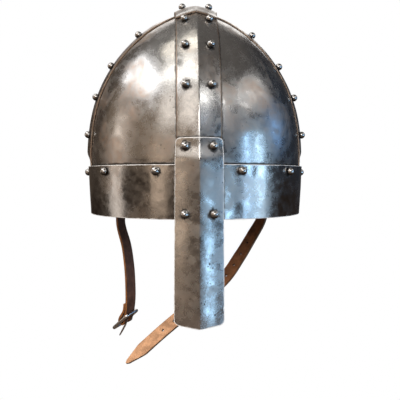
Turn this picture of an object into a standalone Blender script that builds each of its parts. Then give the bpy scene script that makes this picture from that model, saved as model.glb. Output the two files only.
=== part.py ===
"""Riveted steel spangenhelm helmet with a nasal and an open two-part leather chin strap.

Metres, +Z up, the face looks along -Y and the wearer's right is at -X.
The origin is the centre of the rim, where the helmet sits on a head.
"""

import math

import bmesh
import bpy
from mathutils import Matrix, Vector

# Dome: the plates' outer surface
DOME_HALF_WIDTH = 0.101
DEPTH_PER_WIDTH = 1.143
SPRING_HEIGHT = 0.050
DOME_RISE = 0.1465
DOME_BULGE = 1.35
DOME_CROWN = 0.833
RIM_TAPER = 0.0028
SEARCH_ABOVE = 0.004
SEARCH_BELOW = 0.030

# Sheet metal
SHEET = 0.0015
GAP = 0.0004

# Brow band
BROW_HEIGHT = 0.045
BROW_SEGMENTS = 60

# Plates between the bands
PLATE_LOW_EDGE = 0.032
PLATE_EDGE_INSET = 0.003
PLATE_TIP_REACH = 0.0065
PLATE_CELLS = 9

# Bands over the dome
BAND_WIDTH_TOP = 0.0375
BAND_WIDTH_BROW = 0.0355
BAND_LOW_EDGE = 0.018
RIDGE_RISE = 0.0041
RIDGE_SHARE_AT_APEX = 0.45
RIDGE_FADE = 0.013
RIDGE_FLAT = 0.002
RIDGE_GROW_START = 0.020
RIDGE_GROW_END = 0.045
CROSSING_FLAT = 0.021
CROSSING_EASE = 0.038
FRONT_BAND_END = 0.004
BACK_BAND_LAP = 0.044
LAP_MARGIN = 0.006
LAP_EASE = 0.012
SIDE_BAND_END = 0.005
BAND_COLUMNS = 4
BAND_CELLS = 20
BACK_BAND_CELLS = 28

# Nasal
NASAL_TOP = 0.066
NASAL_DROP = 0.087
NASAL_WIDTH_TOP = 0.0365
NASAL_WIDTH_TIP = 0.038
NASAL_CORNER = 0.0035
NASAL_POINT = 0.0025
NASAL_STEP = 0.0025
NASAL_CELLS = 13

# Rivets
RIVET_HEAD_RADIUS = 0.0035
RIVET_HEAD_HEIGHT = 0.0047
RIVET_SHANK_RADIUS = 0.0016
RIVET_TAIL = 0.001
RIVET_CLEARANCE = 0.0003
RIVET_INSET = 0.0079
RIVET_SIDES = 8
HOLE_OVERRUN = 0.003
HOLE_SIDES = 6
BROW_RIVET_HEIGHT = 0.0397
NASAL_LOW_RIVET_HEIGHT = 0.005
NASAL_HIGH_RIVET_HEIGHT = 0.059
APEX_RIVET_REACH = 0.012

# Straps
STRAP_WIDTH = 0.014
STRAP_THICKNESS = 0.0025
STRAP_PLAN_ANGLE = 125.0
STRAP_TOP = 0.047
STRAP_WALL_RUN = 0.040
STRAP_WALL_GAP = 0.0009
LONG_STRAP_DROP = 0.154
BUCKLE_STRAP_DROP = 0.124
STRAP_POINT_LENGTH = 0.021
STRAP_TIP_WIDTH = 0.003
STRAP_HOLE_RADIUS = 0.0016
STRAP_HOLE_PITCH = 0.0145
STRAP_FIRST_HOLE = 0.049
STRAP_HOLE_COUNT = 10
STRAP_CELLS = 30
FOLD_CELLS = 6
FOLD_RETURN = 0.022

# Buckle
BUCKLE_WIRE_RADIUS = 0.00175
BUCKLE_SIDE_PLAY = 0.0012
BUCKLE_LENGTH = 0.014
BUCKLE_NEAR_LENGTH = 0.014
BUCKLE_CORNER = 0.004
BUCKLE_SWING = 30.0
TONGUE_RADIUS = 0.0011
TONGUE_EYE_WIDTH = 0.003
TONGUE_OVERHANG = 0.008
TONGUE_LEAN = 36.0
TONGUE_SLOT_PLAY = 0.001
TONGUE_SLOT_ABOVE = 0.0055
TONGUE_PLAY = 0.0003

# Share of the dome's rise above the spring line for each pair of rivets on a band
FRONT_RIVET_ROWS = (0.402, 0.648, 0.850)
BACK_RIVET_ROWS = (0.402, 0.648, 0.850)
SIDE_RIVET_ROWS = (0.174, 0.416, 0.618, 0.819)

# Plan angles of the single rivets on the brow band, from the face round to the nape
BROW_RIVET_ANGLES = (19.5, 50.0, 90.0, STRAP_PLAN_ANGLE)

# Hanging part of each strap below the rim.
# side and depth are shares of the dome's half width and half depth, drop is a share of the
# strap's drop, yaw is where its face looks, in degrees from the face towards the middle.
LONG_STRAP_STATIONS = (
    # side, depth, drop, yaw
    (0.745, 0.52, 0.070, 55.0),
    (0.640, 0.47, 0.185, 46.0),
    (0.488, 0.38, 0.330, 42.0),
    (0.312, 0.30, 0.475, 42.0),
    (0.000, 0.22, 0.640, 45.0),
    (-0.273, 0.15, 0.775, 48.0),
    (-0.525, 0.10, 0.912, 50.0),
    (-0.686, 0.08, 1.000, 52.0),
)
BUCKLE_STRAP_STATIONS = (
    # side, depth, drop, yaw
    (0.790, 0.53, 0.120, 60.0),
    (0.725, 0.51, 0.330, 55.0),
    (0.690, 0.50, 0.545, 52.0),
    (0.680, 0.50, 0.755, 52.0),
    (0.692, 0.53, 0.900, 54.0),
    (0.718, 0.57, 1.000, 55.0),
)

MATERIALS = {
    # name: (colour, roughness, metallic)
    "plate_steel": ((0.30, 0.28, 0.27), 0.30, 1.0),
    "band_steel": ((0.38, 0.35, 0.33), 0.34, 1.0),
    "rivet_steel": ((0.62, 0.62, 0.62), 0.20, 1.0),
    "buckle_steel": ((0.45, 0.45, 0.46), 0.28, 1.0),
    "dark_leather": ((0.075, 0.040, 0.026), 0.55, 0.0),
    "tan_leather": ((0.42, 0.23, 0.12), 0.65, 0.0),
}

UP = Vector((0.0, 0.0, 1.0))


def clear_scene():
    for item in list(bpy.data.objects):
        bpy.data.objects.remove(item, do_unlink=True)


def make_material(name):
    colour, roughness, metallic = MATERIALS[name]
    material = bpy.data.materials.new(name)
    material.use_nodes = True
    shader = material.node_tree.nodes["Principled BSDF"]
    shader.inputs["Base Color"].default_value = (*colour, 1.0)
    shader.inputs["Roughness"].default_value = roughness
    shader.inputs["Metallic"].default_value = metallic
    return material


def new_collection(name):
    collection = bpy.data.collections.new(name)
    bpy.context.scene.collection.children.link(collection)
    return collection


def add_object(name, mesh, collection, material=None):
    item = bpy.data.objects.new(name, mesh)
    collection.objects.link(item)
    if material and not mesh.materials:
        mesh.materials.append(material)
    return item


def ease(value, low, high):
    """Smooth step from 0 at low to 1 at high."""
    share = min(1.0, max(0.0, (value - low) / (high - low)))
    return share * share * (3.0 - 2.0 * share)


def profile(turn):
    """Half width and height of the dome: turn 0 is the apex, 1 the spring line, 2 the rim."""
    if turn <= 1.0:
        angle = turn * math.pi / 2.0
        half_width = DOME_HALF_WIDTH * math.sin(angle) ** DOME_BULGE
        return half_width, SPRING_HEIGHT + DOME_RISE * math.cos(angle) ** DOME_CROWN
    return DOME_HALF_WIDTH - RIM_TAPER * (turn - 1.0), SPRING_HEIGHT * (2.0 - turn)


def turn_at_height(height):
    if height <= SPRING_HEIGHT:
        return 2.0 - height / SPRING_HEIGHT
    share = (height - SPRING_HEIGHT) / DOME_RISE
    return math.acos(share ** (1.0 / DOME_CROWN)) / (math.pi / 2.0)


def turn_at_half_width(half_width):
    share = half_width / DOME_HALF_WIDTH
    return math.asin(share ** (1.0 / DOME_BULGE)) / (math.pi / 2.0)


def half_width_at(height):
    if height >= SPRING_HEIGHT + DOME_RISE:
        return SPRING_HEIGHT + DOME_RISE - height
    return profile(turn_at_height(height))[0]


def outside_dome(point):
    """Positive outside the plates' outer surface, negative inside."""
    return math.hypot(point.x, point.y / DEPTH_PER_WIDTH) - half_width_at(point.z)


def dome_normal(point):
    step = 0.00005
    slope = Vector()
    for axis in range(3):
        shift = Vector()
        shift[axis] = step
        slope[axis] = outside_dome(point + shift) - outside_dome(point - shift)
    return slope.normalized()


def drop_to_dome(start, inward):
    """The point of the dome reached from start along inward."""
    near, far = -SEARCH_ABOVE, SEARCH_BELOW
    for _ in range(36):
        middle = (near + far) / 2.0
        if outside_dome(start + inward * middle) > 0.0:
            near = middle
        else:
            far = middle
    return start + inward * near


def wall_point(plan_angle, height, lift):
    """A point at a plan angle from the face, lift outside the plates' outer surface."""
    half_width = half_width_at(height)
    angle = math.radians(plan_angle)
    depth = half_width * DEPTH_PER_WIDTH
    point = Vector((half_width * math.sin(angle), -depth * math.cos(angle), height))
    return point + dome_normal(point) * lift


def band_half_width(turn):
    return (BAND_WIDTH_TOP + (BAND_WIDTH_BROW - BAND_WIDTH_TOP) * min(1.0, abs(turn))) / 2.0


def over_dome(heading, across, turn):
    """Where a strip that runs along heading meets the dome, across from its middle line."""
    half_width, height = profile(abs(turn))
    reach = math.copysign(half_width, turn)
    if heading.y:
        reach *= DEPTH_PER_WIDTH
    base = heading * reach + UP * height
    inward = -dome_normal(base) if abs(turn) > 0.001 else -UP
    side = UP.cross(heading)
    return drop_to_dome(base + side * across, inward)


def brow_fade(height):
    """The bands' ridge is beaten flat where the brow band covers it."""
    low = BROW_HEIGHT + RIDGE_FLAT
    return ease(height, low, low + RIDGE_FADE)


def main_lift(reach, turn):
    """Inner face of the front and back bands above the plates, at a distance from the apex."""
    layer = SHEET + GAP
    return GAP + layer * (1.0 - ease(reach, CROSSING_FLAT, CROSSING_EASE))


def front_band_point(across_share, turn, extra=0.0):
    heading = Vector((0.0, -1.0, 0.0))
    point = over_dome(heading, across_share * band_half_width(turn), turn)
    reach = profile(abs(turn))[0] * DEPTH_PER_WIDTH
    return point + dome_normal(point) * (main_lift(reach, turn) + extra
                                         + main_ridge(reach, point.z, across_share))


def main_ridge(reach, height, across_share):
    growth = ease(reach, RIDGE_GROW_START, RIDGE_GROW_END)
    grown = RIDGE_SHARE_AT_APEX + (1.0 - RIDGE_SHARE_AT_APEX) * growth
    return RIDGE_RISE * grown * brow_fade(height) * (1.0 - abs(across_share))


def back_band_point(across_share, turn, extra=0.0):
    """Runs up the back, over the apex and over the top end of the front band."""
    heading = Vector((0.0, 1.0, 0.0))
    point = over_dome(heading, across_share * band_half_width(turn), turn)
    reach = profile(abs(turn))[0] * DEPTH_PER_WIDTH
    forward = -math.copysign(reach, turn)
    lap_start = FRONT_BAND_END - LAP_MARGIN
    lap = (SHEET + GAP) * ease(forward, lap_start - LAP_EASE, lap_start)
    return point + dome_normal(point) * (main_lift(reach, turn) + lap + extra
                                         + main_ridge(reach, point.z, across_share))


def side_band_point(hand, across_share, turn, extra=0.0):
    heading = Vector((hand, 0.0, 0.0))
    point = over_dome(heading, across_share * band_half_width(turn), turn)
    grown = ease(profile(turn)[0], CROSSING_FLAT, CROSSING_EASE) * brow_fade(point.z)
    ridge = RIDGE_RISE * grown * (1.0 - abs(across_share))
    return point + dome_normal(point) * (GAP + ridge + extra)


def nasal_half_width(height):
    share = (NASAL_TOP - height) / (NASAL_TOP + NASAL_DROP)
    return (NASAL_WIDTH_TOP + (NASAL_WIDTH_TIP - NASAL_WIDTH_TOP) * share) / 2.0


def nasal_point(across_share, height, extra=0.0):
    """Lies on the front band above, on the brow band below, then hangs straight down."""
    layer = SHEET + GAP
    half_width = nasal_half_width(height)
    on_wall = max(height, 0.0)
    turn = turn_at_height(on_wall)
    point = over_dome(Vector((0.0, -1.0, 0.0)), across_share * half_width, turn)
    step = BROW_HEIGHT + NASAL_STEP
    over_brow = 1.0 - ease(on_wall, step, step + RIDGE_FADE)
    lift = GAP + layer + layer * over_brow + extra + RIDGE_RISE * (1.0 - abs(across_share))
    point += dome_normal(point) * lift
    point.z += height - on_wall
    return point


def make_sheet(name, columns, rows, place, thickness, collection, material, offset=1.0):
    """A grid laid over a surface by place(across 0..1, along 0..1) and given its thickness."""
    shape = bmesh.new()
    bmesh.ops.create_grid(shape, x_segments=columns, y_segments=rows, size=0.5)
    for vertex in shape.verts:
        vertex.co = place(vertex.co.x + 0.5, vertex.co.y + 0.5)
    bmesh.ops.remove_doubles(shape, verts=shape.verts, dist=0.00001)
    shape.normal_update()
    middle = Vector((0.0, 0.0, SPRING_HEIGHT))
    if sum(face.normal.dot(face.calc_center_median() - middle) for face in shape.faces) < 0.0:
        bmesh.ops.reverse_faces(shape, faces=shape.faces)
    mesh = bpy.data.meshes.new(name)
    shape.to_mesh(mesh)
    shape.free()
    item = add_object(name, mesh, collection, material)
    wall = item.modifiers.new("wall", "SOLIDIFY")
    wall.thickness = thickness
    wall.offset = offset
    wall.use_even_offset = True
    return item


def make_plate(name, right, back, collection, material):
    """A quarter of the dome that stops short of the two middle planes, under the bands."""
    top = turn_at_half_width(PLATE_TIP_REACH)
    low = turn_at_height(PLATE_LOW_EDGE)
    spring = 1.0

    def place(across, along):
        row = top + (low - top) * along
        snapped = spring if abs(row - spring) < 0.5 / PLATE_CELLS * (low - top) else row
        half_width, height = profile(snapped)
        start = math.asin(PLATE_EDGE_INSET / half_width)
        end = math.acos(PLATE_EDGE_INSET / (half_width * DEPTH_PER_WIDTH))
        angle = start + (end - start) * across
        x = half_width * math.sin(angle)
        y = half_width * DEPTH_PER_WIDTH * math.cos(angle)
        return Vector((x if right else -x, y if back else -y, height))

    return make_sheet(name, PLATE_CELLS, PLATE_CELLS, place, SHEET, collection, material, -1.0)


def make_brow_band(collection, material):
    lift = 2.0 * GAP + SHEET

    def place(across, along):
        return wall_point(-360.0 * across, BROW_HEIGHT * (1.0 - along), lift)

    return make_sheet("brow_band", BROW_SEGMENTS, 3, place, SHEET, collection, material)


def make_front_band(collection, material):
    top = turn_at_half_width(FRONT_BAND_END / DEPTH_PER_WIDTH)
    low = turn_at_height(BAND_LOW_EDGE)

    def place(across, along):
        return front_band_point(2.0 * across - 1.0, top + (low - top) * along)

    return make_sheet("front_band", BAND_COLUMNS, BAND_CELLS, place, SHEET, collection, material)


def make_back_band(collection, material):
    top = -turn_at_half_width(BACK_BAND_LAP / DEPTH_PER_WIDTH)
    low = turn_at_height(BAND_LOW_EDGE)

    def place(across, along):
        return back_band_point(2.0 * across - 1.0, top + (low - top) * along)

    return make_sheet("back_band", BAND_COLUMNS, BACK_BAND_CELLS, place, SHEET, collection, material)


def make_side_band(name, hand, collection, material):
    top = turn_at_half_width(SIDE_BAND_END)
    low = turn_at_height(BAND_LOW_EDGE)

    def place(across, along):
        return side_band_point(hand, 2.0 * across - 1.0, top + (low - top) * along)

    return make_sheet(name, BAND_COLUMNS, BAND_CELLS, place, SHEET, collection, material)


def rounded_end(across_share, half_width, corner):
    """How far a rounded corner draws an end back at this place across."""
    past = abs(across_share) * half_width - (half_width - corner)
    if past <= 0.0:
        return 0.0
    return corner - math.sqrt(max(0.0, corner * corner - past * past))


def make_nasal(collection, material):
    # Shares across, closer together round the corners
    columns = (-1.0, -0.94, -0.85, -0.45, 0.0, 0.45, 0.85, 0.94, 1.0)
    cells = len(columns) - 1

    def place(across, along):
        share = columns[round(across * cells)]
        top_half = nasal_half_width(NASAL_TOP)
        tip_half = nasal_half_width(-NASAL_DROP)
        top = NASAL_TOP - rounded_end(share, top_half, NASAL_CORNER)
        tip = (-NASAL_DROP + NASAL_POINT * abs(share)
               + rounded_end(share, tip_half, NASAL_CORNER))
        return nasal_point(share, top + (tip - top) * along)

    return make_sheet("nasal", cells, NASAL_CELLS, place, SHEET, collection, material)


def surface_frame(place, across, along, across_step, along_step):
    """A point of a surface and its outward normal."""
    point = place(across, along)
    first = place(across + across_step, along) - place(across - across_step, along)
    second = place(across, along + along_step) - place(across, along - along_step)
    normal = first.cross(second).normalized()
    if normal.dot(point - Vector((0.0, 0.0, SPRING_HEIGHT))) < 0.0:
        normal = -normal
    return point, normal


def rivet_mesh(length, material, meshes):
    key = round(length, 5)
    if key in meshes:
        return meshes[key]
    radius = RIVET_HEAD_RADIUS
    waist = RIVET_HEAD_HEIGHT - radius
    outline = [
        (0.0, RIVET_HEAD_HEIGHT),
        (radius * math.sin(math.pi / 4.0), waist + radius * math.cos(math.pi / 4.0)),
        (radius, waist),
        (radius * 0.9, 0.0),
        (RIVET_SHANK_RADIUS, 0.0),
        (RIVET_SHANK_RADIUS, -length),
        (0.0, -length),
    ]
    shape = bmesh.new()
    points = [shape.verts.new((x, 0.0, z)) for x, z in outline]
    edges = [shape.edges.new(pair) for pair in zip(points, points[1:])]
    bmesh.ops.spin(shape, geom=points + edges, axis=(0.0, 0.0, 1.0), cent=(0.0, 0.0, 0.0),
                   angle=2.0 * math.pi, steps=RIVET_SIDES, use_merge=True)
    bmesh.ops.remove_doubles(shape, verts=shape.verts, dist=0.00001)
    bmesh.ops.recalc_face_normals(shape, faces=shape.faces)
    mesh = bpy.data.meshes.new("rivet")
    shape.to_mesh(mesh)
    shape.free()
    mesh.materials.append(material)
    meshes[key] = mesh
    return mesh


def turned_to(normal):
    return UP.rotation_difference(normal)


def rivet_share(half_width):
    """Place of a rivet across a band as a share of its half width, set in from the edge."""
    return 1.0 - RIVET_INSET / half_width


def stack_depth(seat, normal, past):
    """Length along a rivet from its seat to past the plates' outer surface."""
    foot = drop_to_dome(seat, -normal)
    return (seat - foot).length + past


def make_rivet(name, point, normal, past, sheets, kit):
    """A domed rivet in a hole through each of the named sheets."""
    seat = point + normal * GAP
    length = math.ceil(stack_depth(seat, normal, past) * 2000.0) / 2000.0
    item = add_object(name, rivet_mesh(length, kit["rivet"], kit["meshes"]), kit["parts"])
    item.location = seat
    item.rotation_mode = "QUATERNION"
    item.rotation_quaternion = turned_to(normal)
    shape = bmesh.new()
    bmesh.ops.create_cone(shape, cap_ends=True, segments=HOLE_SIDES,
                          radius1=RIVET_SHANK_RADIUS + RIVET_CLEARANCE,
                          radius2=RIVET_SHANK_RADIUS + RIVET_CLEARANCE,
                          depth=length + 2.0 * HOLE_OVERRUN)
    mesh = bpy.data.meshes.new(name + "_hole")
    shape.to_mesh(mesh)
    shape.free()
    cutter = add_object(name + "_hole", mesh, kit["cutters"])
    cutter.location = seat - normal * (length / 2.0)
    cutter.rotation_mode = "QUATERNION"
    cutter.rotation_quaternion = turned_to(normal)
    cutter.hide_render = True
    cutter.display_type = "WIRE"
    for sheet in sheets:
        kit["holes"].setdefault(sheet, []).append(cutter)
    return item


def plate_under(point):
    side = "right" if point.x > 0.0 else "left"
    end = "back" if point.y > 0.0 else "front"
    return f"plate_{end}_{side}"


def make_band_rivets(kit):
    """Pairs of rivets up each band, through the band and the plate under it."""
    through = SHEET + GAP + RIVET_TAIL
    runs = (
        # name, surface, rows, sheet
        ("front", front_band_point, FRONT_RIVET_ROWS, "front_band"),
        ("back", back_band_point, BACK_RIVET_ROWS, "back_band"),
        ("left", lambda a, t, e: side_band_point(-1.0, a, t, e), SIDE_RIVET_ROWS,
         "side_band_left"),
        ("right", lambda a, t, e: side_band_point(1.0, a, t, e), SIDE_RIVET_ROWS,
         "side_band_right"),
    )
    for run, surface, rows, sheet in runs:
        for row, share in enumerate(rows, start=1):
            turn = turn_at_height(SPRING_HEIGHT + DOME_RISE * share)
            for letter, hand in (("a", -1.0), ("b", 1.0)):
                across = hand * rivet_share(band_half_width(turn))
                point, normal = surface_frame(
                    lambda a, t: surface(a, t, SHEET), across, turn, 0.05, 0.01)
                make_rivet(f"rivet_{run}_{row}{letter}", point, normal, through,
                           (sheet, plate_under(point)), kit)


def make_apex_rivets(kit):
    """Four rivets at the corners of the crossing, through every layer."""
    turn = turn_at_half_width(APEX_RIVET_REACH / DEPTH_PER_WIDTH)
    through = SHEET + GAP + RIVET_TAIL
    for end, way in (("front", -1.0), ("back", 1.0)):
        for side, hand in (("left", -1.0), ("right", 1.0)):
            across = -hand * rivet_share(band_half_width(turn))
            point, normal = surface_frame(
                lambda a, t: back_band_point(a, t, SHEET), across, way * turn, 0.05, 0.01)
            sheets = ["back_band", f"side_band_{side}", plate_under(point)]
            if end == "front":
                sheets.append("front_band")
            make_rivet(f"rivet_apex_{end}_{side}", point, normal, through, sheets, kit)


def make_nasal_rivets(kit):
    for level, height in (("high", NASAL_HIGH_RIVET_HEIGHT), ("low", NASAL_LOW_RIVET_HEIGHT)):
        for side, hand in (("left", -1.0), ("right", 1.0)):
            across = hand * rivet_share(nasal_half_width(height))
            point, normal = surface_frame(
                lambda a, z: nasal_point(a, z, SHEET), across, height, 0.05, 0.001)
            if level == "high":
                sheets = ("nasal", "front_band", plate_under(point))
                through = SHEET + GAP + RIVET_TAIL
            else:
                sheets = ("nasal", "brow_band")
                through = RIVET_TAIL - 2.0 * GAP - SHEET
            make_rivet(f"rivet_nasal_{level}_{side}", point, normal, through, sheets, kit)


def make_brow_rivets(kit):
    """Single rivets round the brow band and a pair on the foot of the back band."""
    lift = 2.0 * (GAP + SHEET)
    through = SHEET + GAP + RIVET_TAIL

    def outer(angle, height):
        return wall_point(angle, height, lift)

    for number, angle in enumerate(BROW_RIVET_ANGLES, start=1):
        for side, hand in (("left", -1.0), ("right", 1.0)):
            point, normal = surface_frame(outer, hand * angle, BROW_RIVET_HEIGHT, 0.5, 0.001)
            sheets = ["brow_band"]
            reach = through
            if angle == 90.0:
                sheets.append(f"side_band_{side}")
            else:
                sheets.append(plate_under(point))
            if angle == STRAP_PLAN_ANGLE:
                sheets.append("strap_buckle" if side == "left" else "strap_long")
                reach += STRAP_THICKNESS + STRAP_WALL_GAP
            make_rivet(f"rivet_brow_{number}_{side}", point, normal, reach, sheets, kit)
    for side, hand in (("left", -1.0), ("right", 1.0)):
        off_middle = BAND_WIDTH_BROW / 2.0 - RIVET_INSET
        angle = 180.0 - math.degrees(off_middle / DOME_HALF_WIDTH)
        point, normal = surface_frame(outer, hand * angle, BROW_RIVET_HEIGHT, 0.5, 0.001)
        make_rivet(f"rivet_nape_{side}", point, normal, through,
                   ("brow_band", "back_band", plate_under(point)), kit)


def smooth_route(points, count):
    """Points read evenly by chord from a Catmull-Rom curve through the given ones."""
    padded = [points[0] * 2.0 - points[1], *points, points[-1] * 2.0 - points[-2]]
    dense = []
    steps = 16
    for index in range(1, len(padded) - 2):
        a, b, c, d = padded[index - 1:index + 3]
        for step in range(steps):
            t = step / steps
            dense.append(0.5 * (2.0 * b + (c - a) * t + (2.0 * a - 5.0 * b + 4.0 * c - d) * t * t
                                + (3.0 * b - a - 3.0 * c + d) * t ** 3))
    dense.append(padded[-2])
    lengths = [0.0]
    for first, second in zip(dense, dense[1:]):
        lengths.append(lengths[-1] + (second - first).length)
    route = []
    index = 0
    for number in range(count + 1):
        wanted = lengths[-1] * number / count
        while index < len(lengths) - 2 and lengths[index + 1] < wanted:
            index += 1
        span = lengths[index + 1] - lengths[index]
        route.append(dense[index].lerp(dense[index + 1], (wanted - lengths[index]) / span))
    return route, lengths[-1]


def strap_route(hand, stations, drop, count):
    """Middle line of a strap with the direction that its face looks in, from its top end."""
    inset = SHEET + STRAP_WALL_GAP + STRAP_THICKNESS / 2.0
    angle = hand * STRAP_PLAN_ANGLE
    outward = dome_normal(wall_point(angle, BROW_RIVET_HEIGHT, 0.0))
    wall_yaw = math.degrees(math.atan2(abs(outward.x), abs(outward.y)))
    guide = [wall_point(angle, STRAP_TOP - STRAP_WALL_RUN * mark / 3.0, -inset)
             for mark in range(4)]
    yaws = [wall_yaw] * len(guide)
    for side, depth, fall, yaw in stations:
        guide.append(Vector((hand * side * DOME_HALF_WIDTH,
                             depth * DOME_HALF_WIDTH * DEPTH_PER_WIDTH,
                             -fall * drop)))
        yaws.append(yaw)
    marks = [Vector((yaw, 0.0, 0.0)) for yaw in yaws]
    route, length = smooth_route(guide, count)
    turned = blend_along(guide, marks, route)
    frames = []
    for index, point in enumerate(route):
        ahead = route[min(index + 1, count)] - route[max(index - 1, 0)]
        ahead.normalize()
        yaw = math.radians(turned[index])
        face = Vector((-hand * math.sin(yaw), -math.cos(yaw), 0.0))
        face = (face - ahead * face.dot(ahead)).normalized()
        frames.append((point, ahead, face))
    return frames, length


def blend_along(guide, marks, route):
    """The first value of marks carried from the guide points to each point of the route."""
    lengths = [0.0]
    for first, second in zip(guide, guide[1:]):
        lengths.append(lengths[-1] + (second - first).length)
    values = []
    for number in range(len(route)):
        wanted = lengths[-1] * number / (len(route) - 1)
        index = max(i for i in range(len(lengths) - 1) if lengths[i] <= wanted + 1e-12)
        share = (wanted - lengths[index]) / (lengths[index + 1] - lengths[index])
        values.append(marks[index].x + (marks[index + 1].x - marks[index].x) * share)
    return values


def place_on_route(frames, share, offset):
    """Point, direction and face of a route at a share of its length, moved across by offset."""
    exact = share * (len(frames) - 1)
    index = min(int(exact), len(frames) - 2)
    rest = exact - index
    point = frames[index][0].lerp(frames[index + 1][0], rest)
    ahead = frames[index][1].lerp(frames[index + 1][1], rest).normalized()
    face = frames[index][2].lerp(frames[index + 1][2], rest).normalized()
    across = face.cross(ahead).normalized()
    return point + across * offset, ahead, face, across


def add_hole_cutter(name, point, axis, radius, depth, kit, sheet):
    shape = bmesh.new()
    bmesh.ops.create_cone(shape, cap_ends=True, segments=HOLE_SIDES,
                          radius1=radius, radius2=radius, depth=depth)
    mesh = bpy.data.meshes.new(name)
    shape.to_mesh(mesh)
    shape.free()
    cutter = add_object(name, mesh, kit["cutters"])
    cutter.location = point
    cutter.rotation_mode = "QUATERNION"
    cutter.rotation_quaternion = turned_to(axis)
    cutter.hide_render = True
    cutter.display_type = "WIRE"
    kit["holes"].setdefault(sheet, []).append(cutter)


def make_long_strap(kit, material):
    """The strap with the punched holes and the pointed free end."""
    frames, length = strap_route(1.0, LONG_STRAP_STATIONS, LONG_STRAP_DROP, STRAP_CELLS)
    half = STRAP_WIDTH / 2.0
    tip = STRAP_TIP_WIDTH / STRAP_WIDTH
    columns = (-1.0, -tip, 0.0, tip, 1.0)

    def place(across, along):
        share = columns[round(across * 4)]
        past_tip = max(0.0, abs(share) - tip) / (1.0 - tip)
        end = length - STRAP_POINT_LENGTH * past_tip
        return place_on_route(frames, along * end / length, share * half)[0]

    make_sheet("strap_long", 4, STRAP_CELLS, place, STRAP_THICKNESS, kit["parts"], material, 0.0)
    for number in range(STRAP_HOLE_COUNT):
        share = 1.0 - (STRAP_FIRST_HOLE + number * STRAP_HOLE_PITCH) / length
        point, _, face, _ = place_on_route(frames, share, 0.0)
        add_hole_cutter(f"strap_hole_{number + 1}", point, face, STRAP_HOLE_RADIUS,
                        STRAP_THICKNESS * 3.0, kit, "strap_long")


def buckle_seat():
    """Bar centre, bar direction, strap direction and strap face at the buckle."""
    frames, length = strap_route(-1.0, BUCKLE_STRAP_STATIONS, BUCKLE_STRAP_DROP, STRAP_CELLS)
    point, ahead, face, across = place_on_route(frames, 1.0, 0.0)
    offset = BUCKLE_WIRE_RADIUS + GAP + STRAP_THICKNESS / 2.0
    return point - face * offset, across, ahead, face, frames, length


def make_buckle_strap(kit, material):
    """Runs down to the buckle, round its bar and a little way back up behind itself."""
    bar, across, ahead, face, frames, length = buckle_seat()
    turn_radius = BUCKLE_WIRE_RADIUS + GAP + STRAP_THICKNESS / 2.0
    path = [(point, side) for point, side in
            ((frame[0], frame[2].cross(frame[1]).normalized()) for frame in frames)]
    for step in range(1, FOLD_CELLS + 1):
        angle = math.pi * step / FOLD_CELLS
        point = bar + (face * math.cos(angle) + ahead * math.sin(angle)) * turn_radius
        path.append((point, across))
    apart = STRAP_THICKNESS + GAP
    returns = 4
    for step in range(1, returns + 1):
        share = step / returns
        point, _, looks, side = place_on_route(frames, 1.0 - FOLD_RETURN * share / length, 0.0)
        close = ease(share, 0.0, 0.75)
        behind = 2.0 * turn_radius + (apart - 2.0 * turn_radius) * close
        path.append((point - looks * behind, side))
    cells = len(path) - 1
    half = STRAP_WIDTH / 2.0

    def place(across_share, along):
        point, side = path[round(along * cells)]
        return point + side * ((2.0 * across_share - 1.0) * half)

    make_sheet("strap_buckle", 2, cells, place, STRAP_THICKNESS, kit["parts"], material, 0.0)
    slot = bmesh.new()
    bmesh.ops.create_cube(slot, size=1.0)
    width = TONGUE_EYE_WIDTH + 2.0 * TONGUE_SLOT_PLAY
    reach = 2.0 * (turn_radius + STRAP_THICKNESS)
    tall = TONGUE_SLOT_ABOVE + reach
    size = Matrix.Diagonal((width, 2.0 * reach, tall, 1.0))
    centre = bar + ahead * (tall / 2.0 - TONGUE_SLOT_ABOVE)
    turn = Matrix((across, face, ahead)).transposed().to_4x4()
    bmesh.ops.transform(slot, matrix=Matrix.Translation(centre) @ turn @ size,
                        verts=slot.verts)
    bmesh.ops.recalc_face_normals(slot, faces=slot.faces)
    mesh = bpy.data.meshes.new("tongue_slot")
    slot.to_mesh(mesh)
    slot.free()
    cutter = add_object("tongue_slot", mesh, kit["cutters"])
    cutter.hide_render = True
    cutter.display_type = "WIRE"
    kit["holes"].setdefault("strap_buckle", []).append(cutter)


def buckle_heading(ahead, across):
    """Direction from the bar to the far side of the frame, swung a little forwards."""
    return Matrix.Rotation(math.radians(BUCKLE_SWING), 3, across) @ ahead


def make_wire(name, points, radius, cyclic, collection, material):
    """A bent wire along points as one closed mesh."""
    curve = bpy.data.curves.new(name, "CURVE")
    curve.dimensions = "3D"
    curve.bevel_depth = radius
    curve.bevel_resolution = 2
    curve.use_fill_caps = True
    spline = curve.splines.new("POLY")
    spline.points.add(len(points) - 1)
    spline.use_cyclic_u = cyclic
    for spot, point in zip(spline.points, points):
        spot.co = (*point, 1.0)
    source = bpy.data.objects.new(name + "_curve", curve)
    collection.objects.link(source)
    bpy.context.view_layer.update()
    evaluated = source.evaluated_get(bpy.context.evaluated_depsgraph_get())
    mesh = bpy.data.meshes.new_from_object(evaluated)
    bpy.data.objects.remove(source, do_unlink=True)
    shape = bmesh.new()
    shape.from_mesh(mesh)
    bmesh.ops.remove_doubles(shape, verts=shape.verts, dist=0.00001)
    bmesh.ops.recalc_face_normals(shape, faces=shape.faces)
    shape.to_mesh(mesh)
    shape.free()
    mesh.name = name
    return add_object(name, mesh, collection, material)


def set_origin(item, point):
    item.data.transform(Matrix.Translation(-point))
    item.location = point


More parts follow.
